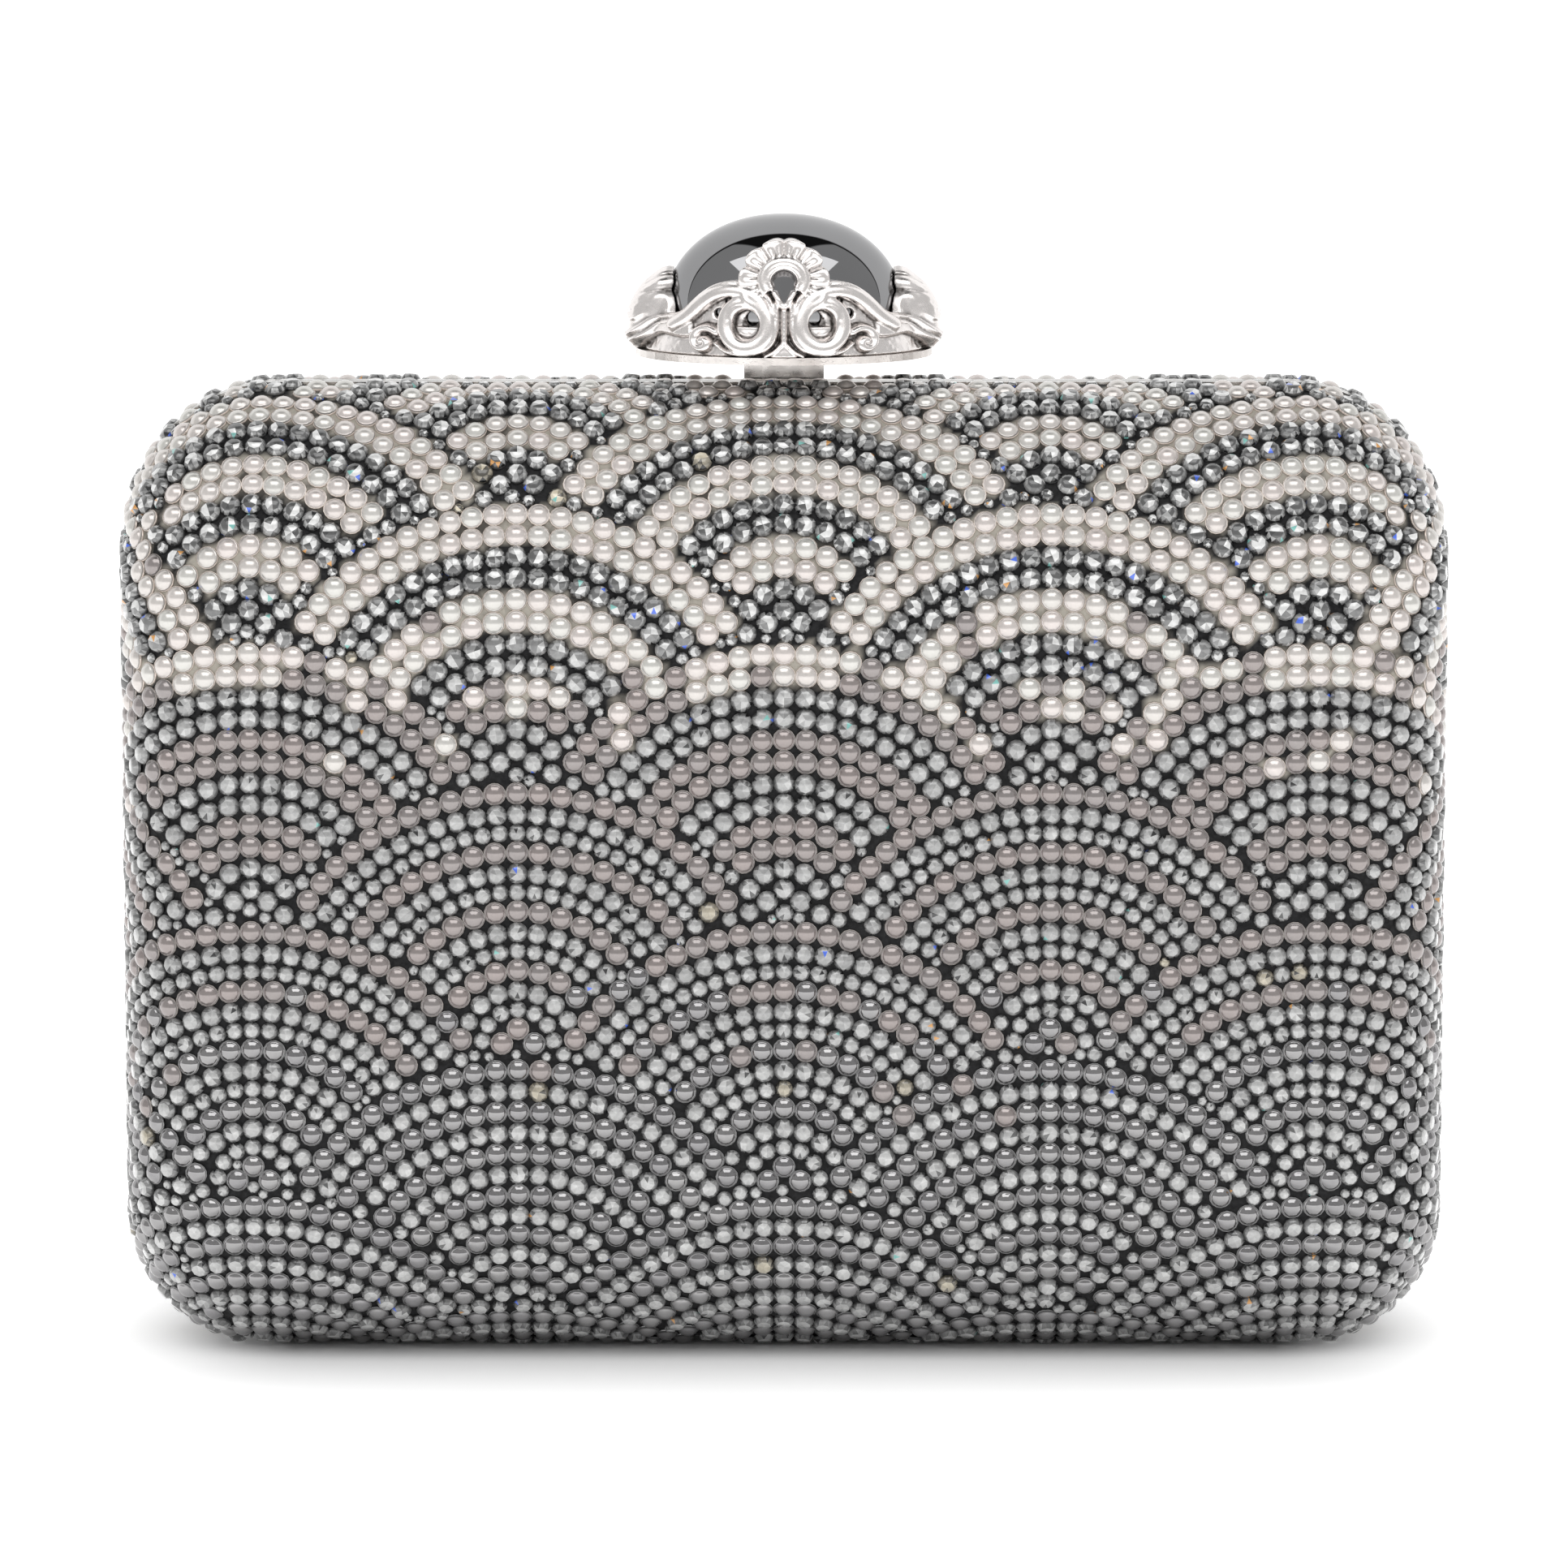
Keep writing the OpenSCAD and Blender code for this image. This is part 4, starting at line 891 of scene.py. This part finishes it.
coarse, pit = rng.normal(0, 1, (50, 80)), 0.33
rows_at, columns_at = np.minimum((V/pit).astype(int), 48), np.minimum((Q/pit).astype(int), 78)
pitting = between(coarse, rows_at, columns_at, V/pit - rows_at, Q/pit - columns_at)
relief = -0.42 + 0.05*pitting
low_v = np.interp(Q, *smooth_path(shoulder_low).T)
relief = np.maximum(relief, np.where(Q > 11.5, -0.42 + 0.7*np.clip((V - low_v)/0.3 + 0.5, 0, 1), absent))
eye_ring = off_oval(Q - eye_q, V - eye_v, eye_half + ring_half, eye_tall + ring_half)
for distance, half, low, high, flatness in (
        (off_path(beside(rail, 0.3), Q, V, 0), 0.32, 0.0, 0.66, 0.5),
        (off_path(beside(rail, 0.95), Q, V, 0), 0.26, 0.0, 0.52, 0.5),
        (off_path(scroll, Q, V), 0.86, 0.1, 0.98, 0.35),
        (eye_ring, ring_half, 0.1, 1.0, 0.35),
        (off_path(under, Q, V), 0.3, 0.0, 0.72, 0.5),
        (off_path(curl, Q, V), 0.52, -0.1, 0.7, 0.4),
        (off_path([(0, 2.0), (0, 4.5), (0, 6.8)], Q, V), 0.42, -0.1, 0.6, 0.5),
        (off_path([(0, 2.0), (1.1, 0.7), (2.3, 0.1)], Q, V), 0.26, -0.1, 0.45, 0.5)):
    relief = np.maximum(relief, ridge(distance, half, low, high, flatness))
relief = np.maximum(relief, np.where(V < 1.7 - Q, 0.1 + 0.05*pitting, absent))
whorl = off_path([(6.3, 4.6), (6.2, 5.7), (5.2, 6.4), (4.2, 6.3), (3.2, 5.6)], Q, V)
relief = np.where(whorl < 0.16, relief - 0.16*(1 - whorl/0.16), relief)
eye = np.hypot((Q - eye_q)/eye_half, (V - eye_v)/eye_tall)
relief = np.where(eye < 1, np.minimum(relief, 0.3 - 1.3*np.sqrt(np.clip(1 - eye**2, 0, 1))), relief)
leaf, leaf_outline, window = fan(Q, V, 9.45, 5.15, 0.25)
relief = np.maximum(relief, leaf)
outline = np.minimum(-below_edge, leaf_outline)
for hole_r, q, v in ((0.85, 3.9, 4.7), (0.6, 8.35, 5.2)):
    window = np.minimum(window, np.hypot(Q - q, V - v) - hole_r)

# %% The two ends: the band swells out, under a pair of smaller scrolls and a smaller palmette
end_w = 6.5
swell = np.clip((5.4 - E)/3.2, 0, 1)
swell = swell*swell*(3 - 2*swell)
end_scroll = [(4.2, 4.6), (4.1, 5.9), (3.1, 6.7), (1.8, 6.2), (1.2, 5.0), (1.7, 3.9),
              (2.6, 3.9), (3.0, 4.7), (2.5, 5.3)]
crease = np.exp(-((V - edge_v - 0.4)/0.4)**2)
end_leaf, end_leaf_outline, end_window = fan(E, V, 6.2, 4.0, 0.0)
end_relief = ridge(off_path(end_scroll, E, V), 0.6, 0.0, 0.4, 0.4)
for shown, part in ((V > edge_v, 0.15 - 0.25*crease), (end_leaf > -1, 0.1 + 0.5*end_leaf)):
    end_relief = np.maximum(end_relief, np.where(shown, part, absent))
end_top = np.interp(E, *smooth_path([
    (0, 6.5), (2.0, 7.6), (4.0, 7.4), (5.2, 6.0), (5.9, 4.6), (end_w, 2.0)]).T)
end_outline = np.minimum(V - end_top, end_leaf_outline)
depth_in = np.clip(-end_outline/2.2, 0, 1)
pillow = 0.25 + 0.75*np.sqrt(1 - (1 - depth_in)**2)
bulge = swell*pillow*np.clip((V - low_v)/0.5 + 0.5, 0, 1)*np.interp(V, *smooth_path([
    (0, 0.3), (1.4, 1.7), (3.0, 2.4), (5.0, 2.8), (7.0, 2.7), (8.2, 2.3), (9.4, 1.8), (11.0, 1.2)]).T)
relief = np.where(E < end_w, np.maximum(relief, end_relief), relief)
relief = np.where(relief > -2, relief + bulge, relief)
outline = np.minimum(outline, np.where(E < end_w, end_outline, far_off))
window = np.minimum(window, np.where(E < 3, end_window, far_off))
outline = np.maximum(outline, -window)


def blurred(grid, reach):
    """A grid averaged over a square, for telling hollows from heights."""
    kernel = np.ones(2*reach + 1)/(2*reach + 1)
    padded = np.pad(grid, reach, mode="edge")
    rows_done = np.apply_along_axis(lambda line: np.convolve(line, kernel, "valid"), 1, padded)
    return np.apply_along_axis(lambda line: np.convolve(line, kernel, "valid"), 0, rows_done)


# Painted shade: how far each point lies below the mean of its neighbours, made stronger at the two ends.
hollow = (blurred(relief, 9) - relief - 0.04)/0.34
hollow = np.clip(hollow*np.where(E < end_w, 1.8, 1.0), 0, 1)

# %% [markdown]
# ## The crown: the wall, bent round
# Bending a mesh would crumple the relief where it is steep. Instead, for each cell
# of a fine block of space, the nearest place on the strip tells whether the cell
# lies in the metal, and the zero level of that field is the surface. The ledge
# under the stone is added and the room for the stone is cut in the same way.

# %% Field of the crown and its surface
cell, block_x, block_y, block_z, under_foot = 0.15, 20.4, 15.6, 15.9, 0.45
band_w, outside, lean_cos, shaded_inside_depth = 4.6, 2.0, 0.94, -0.7
ledge_a, ledge_b, stone_mean_r, crown_middle_z = 16.4, 12.4, 11, 132
xs = (np.arange(int(block_x/cell)) + 0.5)*cell
ys = (np.arange(int(block_y/cell)) + 0.5)*cell
zs = foot_z - under_foot + np.arange(int(block_z/cell))*cell


def on_plan(grid, q, v):
    """Value of a plan at places given by the way round and the height."""
    a = np.clip(q/fine, 0, grid.shape[1] - 1.001)
    b = np.clip(v/fine, 0, grid.shape[0] - 1.001)
    i, j = a.astype(int), b.astype(int)
    return between(grid, j, i, b - j, a - i)


def off_wall(x, y, z):
    """Way round, height and distance from the wall's outer face, for one quarter."""
    v = z - foot_z
    a, b = foot_a - shrink_a*v, foot_b - shrink_b*v
    q = np.interp(np.arctan2(x/a, y/b), turns, way_round)
    return q, v + 0*q, lean_cos*off_oval(x, y, a, b)


X, Y, Z = np.meshgrid(xs, ys, zs, indexing="ij")
q, v, w = off_wall(X, Y, Z)
near = np.abs(w) < band_w
q, v, w = q[near], v[near], w[near]
metal = np.maximum(w - on_plan(relief, q, v), on_plan(outline, q, v))
metal = np.maximum(metal, np.maximum(-w - wall_t, -v))
field = np.full(X.shape, outside, np.float32)
field[near] = metal
rise = np.clip((Z - girdle_z)/(cab_rise + cab_fit), 0, 1)
round_share = np.sqrt((X/(cab_a + cab_fit))**2 + (Y/(cab_b + cab_fit))**2)
off_stone = ((round_share**cab_square + rise**cab_square)**(1/cab_square) - 1)*stone_mean_r
inner = off_oval(X, Y, cab_a + cab_fit - ledge_w, cab_b + cab_fit - ledge_w)
ledge_z = seat_z - 0.05 - ledge_t/2
ledge = np.maximum(np.maximum(-inner, np.abs(Z - ledge_z) - ledge_t/2), off_oval(X, Y, ledge_a, ledge_b))
field = np.minimum(field, ledge)
field = np.maximum(field, -np.maximum(off_stone, seat_z - cab_fit - Z))
field = np.clip(field, -outside, outside).astype(np.float32)
field = np.concatenate([field[::-1], field], 0)
field = np.concatenate([field[:, ::-1], field], 1)
for axis in (0, 1, 2):
    ahead, back = np.roll(field, -1, axis), np.roll(field, 1, axis)
    field = 0.2*ahead + 0.6*field + 0.2*back
field[:, :, 0] = outside
block = openvdb.FloatGrid(background=outside)
block.copyFromArray(np.ascontiguousarray(field))
corners, _, quads = block.convertToPolygons(isovalue=0.0, adaptivity=0.0)
corners = (corners - np.array([len(xs) - 0.5, len(ys) - 0.5, 0]))*cell + np.array([0, 0, zs[0]])
print("crown field", field.shape, "surface", len(quads), "quads")

# %% [markdown]
# ## Finishes of the knob
# The casting is bright silver, polished on its heights, with painted shade, dark
# and grainy, in its hollows and all over the inside of its wall. The stone is a grey
# mirror with faint veins and marks, and looks dark because the room that it mirrors is dim.

# %% Silver and dark stone
crown_silver, nodes, shader = new_material("crown silver", Metallic=1.0)
worn = use_group(nodes, "handling marks", Size=700.0, Least_Roughness=0.22, Most_Roughness=0.34)
grain = nodes.noise(2200.0, 4.0)
# Painted shade in the hollows, made grainy; the gloss is rougher there too.
painted_hollow_shade = nodes.maths("MULTIPLY", nodes.attribute("hollow"), nodes.spread(grain, 0.3, 0.6, 0.55, 1.0))
nodes.set(shader["Base Color"], nodes.blend(painted_hollow_shade, srgb(0.95, 0.93, 0.92), srgb(0.24, 0.215, 0.20)))
nodes.set(shader["Roughness"], nodes.maths("ADD", worn["Roughness"], nodes.maths("MULTIPLY", painted_hollow_shade, 0.25)))
nodes.bump(shader, grain, 0.06)

dark_stone, nodes, shader = new_material("dark mirror stone", Metallic=1.0)
worn = use_group(nodes, "handling marks", Size=90.0, Least_Roughness=0.02, Most_Roughness=0.06)
veins = nodes.spread(nodes.noise(60.0, 4.0), 0.35, 0.65)
nodes.set(shader["Base Color"], nodes.blend(veins, srgb(0.545, 0.545, 0.55), srgb(0.57, 0.57, 0.575)))
nodes.set(shader["Roughness"], worn["Roughness"])

# %% Crown
q, v, w = off_wall(np.abs(corners[:, 0]), np.abs(corners[:, 1]), corners[:, 2])
# Painted shade: full inside the wall, elsewhere as deep as the hollow.
dark = np.where(w < shaded_inside_depth, 1.0, on_plan(hollow, q, v))
first, second, third = (corners[quads[:, k]] for k in (0, 1, 2))
outward = np.einsum("ij,ij->i", np.cross(second - first, third - first), first - [0, 0, crown_middle_z]).sum()
if outward < 0:
    quads = quads[:, ::-1]
mesh = mesh_from("crown_casting", (corners + [0, knob_y, 0])*MM, quads.ravel(), np.full(len(quads), 4))
store(mesh, "hollow", dark)
mesh.shade_smooth()
piece = new_piece(mesh, crown_silver, "press_knob", "crown_silver", "crown")
fewer = piece.modifiers.new("fewer", "DECIMATE")
fewer.ratio = 0.6

# %% Cabochon
stone_sides, stone_rings, soft_edge = 96, 28, 0.25
profile = [(1 - soft_edge/cab_a, seat_z), (1.0, seat_z + soft_edge), (1.0, girdle_z)]
for share in np.linspace(0, 1, stone_rings)[1:-1]:
    climb = math.sin(share*math.pi/2)
    profile.append(((1 - climb**cab_square)**(1/cab_square), girdle_z + cab_rise*climb))
verts, faces = turned(profile, stone_sides, cab_high.z/MM)
verts = [(x*cab_a, y*cab_b + knob_y, z) for x, y, z in verts]
faces.append(tuple(range(stone_sides))[::-1])
loops = np.concatenate([np.asarray(face) for face in faces])
mesh = mesh_from("cabochon_stone", np.array(verts)*MM, loops, [len(face) for face in faces])
mesh.polygons.foreach_set("use_smooth", np.arange(len(faces)) < len(faces) - 1)
new_piece(mesh, dark_stone, "press_knob", "cabochon_stone", "cabochon")

# %% [markdown]
# ## Finishes of the frame's own parts
# The rims, the hinge, the catch and the shells keep the shapes of the frame. Each
# kind of part gets a metal of its own: its shade, its stains and how finely it was
# brushed. The linings are thin grey-rose leather. Edges that a hand would feel are
# rounded a little, because no real edge is sharp enough to stay black.

# %% Metals, leather and soft edges
def plated(name, clean, worn_shade, size, least, most, strength):
    """A plated metal with two shades, whose gloss carries handling marks."""
    material, nodes, shader = new_material(name, Metallic=1.0)
    worn = use_group(nodes, "handling marks", Size=size, Least_Roughness=least, Most_Roughness=most)
    stain = nodes.spread(nodes.noise(size/5, 5.0), 0.42, 0.72)
    nodes.set(shader["Base Color"], nodes.blend(stain, srgb(*clean), srgb(*worn_shade)))
    nodes.set(shader["Roughness"], worn["Roughness"])
    nodes.bump(shader, worn["Height"], strength)
    return material


lining_leather, nodes, shader = new_material("fine leather", Sheen_Weight=0.15, Specular_IOR_Level=0.4)
grain = use_group(nodes, "leather grain", Size=1300.0)
nodes.set(shader["Base Color"], nodes.blend(grain["Wear"], srgb(0.66, 0.61, 0.60), srgb(0.62, 0.57, 0.56)))
nodes.set(shader["Roughness"], nodes.spread(grain["Wear"], 0.0, 1.0, 0.5, 0.66))
nodes.bump(shader, grain["Pebbles"], 0.35, 0.00012)

# %% Dress the frame's nodes
metals = (
    ("polished rim", (0.78, 0.77, 0.755), (0.66, 0.65, 0.635), 300.0, 0.12, 0.32, 0.08, "front_rim back_rim"),
    ("pressed sheet", (0.86, 0.85, 0.82), (0.74, 0.72, 0.68), 180.0, 0.25, 0.5, 0.08,
     "front_shell back_shell"),
    ("hinge plate", (0.88, 0.87, 0.85), (0.76, 0.75, 0.72), 500.0, 0.16, 0.4, 0.08,
     "hinge_leaf_front hinge_leaf_back hinge_pin hinge_rivets_front hinge_rivets_back"),
    ("satin plate", (0.87, 0.86, 0.83), (0.77, 0.76, 0.73), 900.0, 0.3, 0.48, 0.15,
     "latch_guide striker_plate"),
    ("bright steel", (0.80, 0.80, 0.80), (0.70, 0.70, 0.71), 1200.0, 0.12, 0.28, 0.08,
     "latch_guide_screws catch_rivets striker_rivets crown_screws"),
    ("blued steel", (0.55, 0.57, 0.61), (0.40, 0.41, 0.46), 700.0, 0.2, 0.38, 0.08, "catch_spring"),
    ("plate silver", (0.87, 0.85, 0.835), (0.73, 0.70, 0.68), 500.0, 0.2, 0.42, 0.15, "crown_plate stem"))
finish_of = dict.fromkeys(("front_lining", "back_lining"), lining_leather)
for *metal, names in metals:
    finish_of.update(dict.fromkeys(names.split(), plated(*metal)))
soft_edges = {
    "front_rim": 0.2, "back_rim": 0.15, "crown_plate": 0.18, "stem": 0.15, "latch_guide": 0.2,
    "striker_plate": 0.12, "hinge_leaf_front": 0.1, "hinge_leaf_back": 0.1}
for name, material in finish_of.items():
    node = bpy.data.objects[name]
    for slot in node.material_slots:
        slot.link = "OBJECT"
        slot.material = material
    if name in soft_edges:
        edge_round = node.modifiers.new("soft edges", "BEVEL")
        edge_round.width, edge_round.segments = soft_edges[name]*MM, 2
        edge_round.limit_method, edge_round.angle_limit = "ANGLE", math.radians(40)
        edge_round.harden_normals = True
print("dressed", len(finish_of), "nodes of the frame")

# %% [markdown]
# ## Light, floor and camera
# The photograph is a product shot: a white table that fades into a white
# background, one wide soft light overhead in front, and a dim room with two paler
# panels behind the camera, which is what the dark stones reflect. More lamps would
# put more highlights on every pearl than the photograph has. The table glows by
# itself, a painted light that is weaker close to the case, so that a narrow painted
# shadow lies along it.

# %% Floor and light
def softbox(name, place, aim, size, power):
    lamp = bpy.data.lights.new(name, "AREA")
    lamp.shape, lamp.size, lamp.size_y, lamp.energy = "RECTANGLE", size[0], size[1], power
    made = new_object(name, lamp)
    made.location = place
    made.rotation_euler = (Vector(aim) - Vector(place)).to_track_quat("-Z", "Y").to_euler()


softbox("overhead_light", (0, -0.72, 1.0), (0, -0.72, 0), (1.35, 0.85), 7.0)

floor_material, nodes, shader = new_material("pale floor", Roughness=0.9)
pale, paler = (0.9, 0.9, 0.9, 1), (0.92, 0.92, 0.92, 1)
nodes.set(shader["Base Color"], nodes.blend(nodes.noise(30.0, 2.0), pale, paler))
beyond = nodes.place()
for operation, other in (
        ("ABSOLUTE", {}), ("SUBTRACT", {1: (0.06, 0.012, 0.0)}), ("MAXIMUM", {1: (0.0, 0.0, 0.0)})):
    beyond = nodes.add("VectorMath", {0: beyond, **other}, operation=operation)["Vector"]
away = nodes.add("VectorMath", {0: beyond}, operation="LENGTH")["Value"]
# Painted shadow: the table's glow fades out towards the case's footprint.
glow_with_painted_shadow = nodes.blend(nodes.spread(away, 0.002, 0.037), (0.0, 0.0, 0.0, 1), (1, 1, 1, 1))
nodes.set(shader["Emission Color"], glow_with_painted_shadow)
shader["Emission Strength"].default_value = 0.66
floor_r, floor_sides = 6.0, 64
angles = np.arange(floor_sides)*2*math.pi/floor_sides
rim = np.stack([floor_r*np.cos(angles), floor_r*np.sin(angles), 0*angles], 1)
floor_mesh = mesh_from("floor", rim, range(floor_sides), [floor_sides])
floor_mesh.materials.append(floor_material)
floor = new_object("floor", floor_mesh)
floor.location.z = -0.0002

world = bpy.data.worlds.new("studio")
bpy.context.scene.world = world
world.use_nodes = True
nodes = Nodes(world.node_tree)
axes = nodes.add("SeparateXYZ", {"Vector": nodes.add("TexCoord")["Generated"]})
tilt = nodes.maths("ARCTAN2", axes["Z"], axes["Y"])
backdrop = nodes.spread(tilt, 1.32, 1.36, 1.1, 0.02)
inward = nodes.maths("ADD", nodes.maths("ABSOLUTE", axes["X"]), nodes.maths("MULTIPLY", tilt, 0.6))
panels = nodes.maths("MULTIPLY", nodes.spread(inward, 1.28, 1.32), nodes.spread(tilt, 1.39, 1.42, 0.0, 0.56))
front = nodes.spread(tilt, 1.85, 2.1, 0.0, 0.54)
below = nodes.spread(axes["Z"], -0.05, 0.0, 0.6, 0.0)
brightest = nodes.add("LightPath")["Is Camera Ray"]
for part in (backdrop, panels, front, below):
    brightest = nodes.maths("MAXIMUM", brightest, part)
background = world.node_tree.nodes["Background"]
background.inputs["Color"].default_value = (1.0, 1.0, 1.0, 1.0)
nodes.set(background.inputs["Strength"], brightest)
bpy.context.scene.view_settings.view_transform = "Standard"

# %% Camera
photo_px, px_mm, aim_z = 1932, 0.1024, 0.0701
camera_distance, elevation = 1.1, math.radians(9.0)
lens = bpy.data.cameras.new("camera")
lens.sensor_width = 36.0
lens.lens = lens.sensor_width*camera_distance/(photo_px*px_mm*MM)
lens.clip_start = 0.05
camera = new_object("camera", lens)
camera.location = (0, -camera_distance*math.cos(elevation), aim_z + camera_distance*math.sin(elevation))
camera.rotation_euler = (math.pi/2 - elevation, 0, 0)
bpy.context.scene.camera = camera
print("lens", round(lens.lens, 1), "mm at", camera_distance, "m")
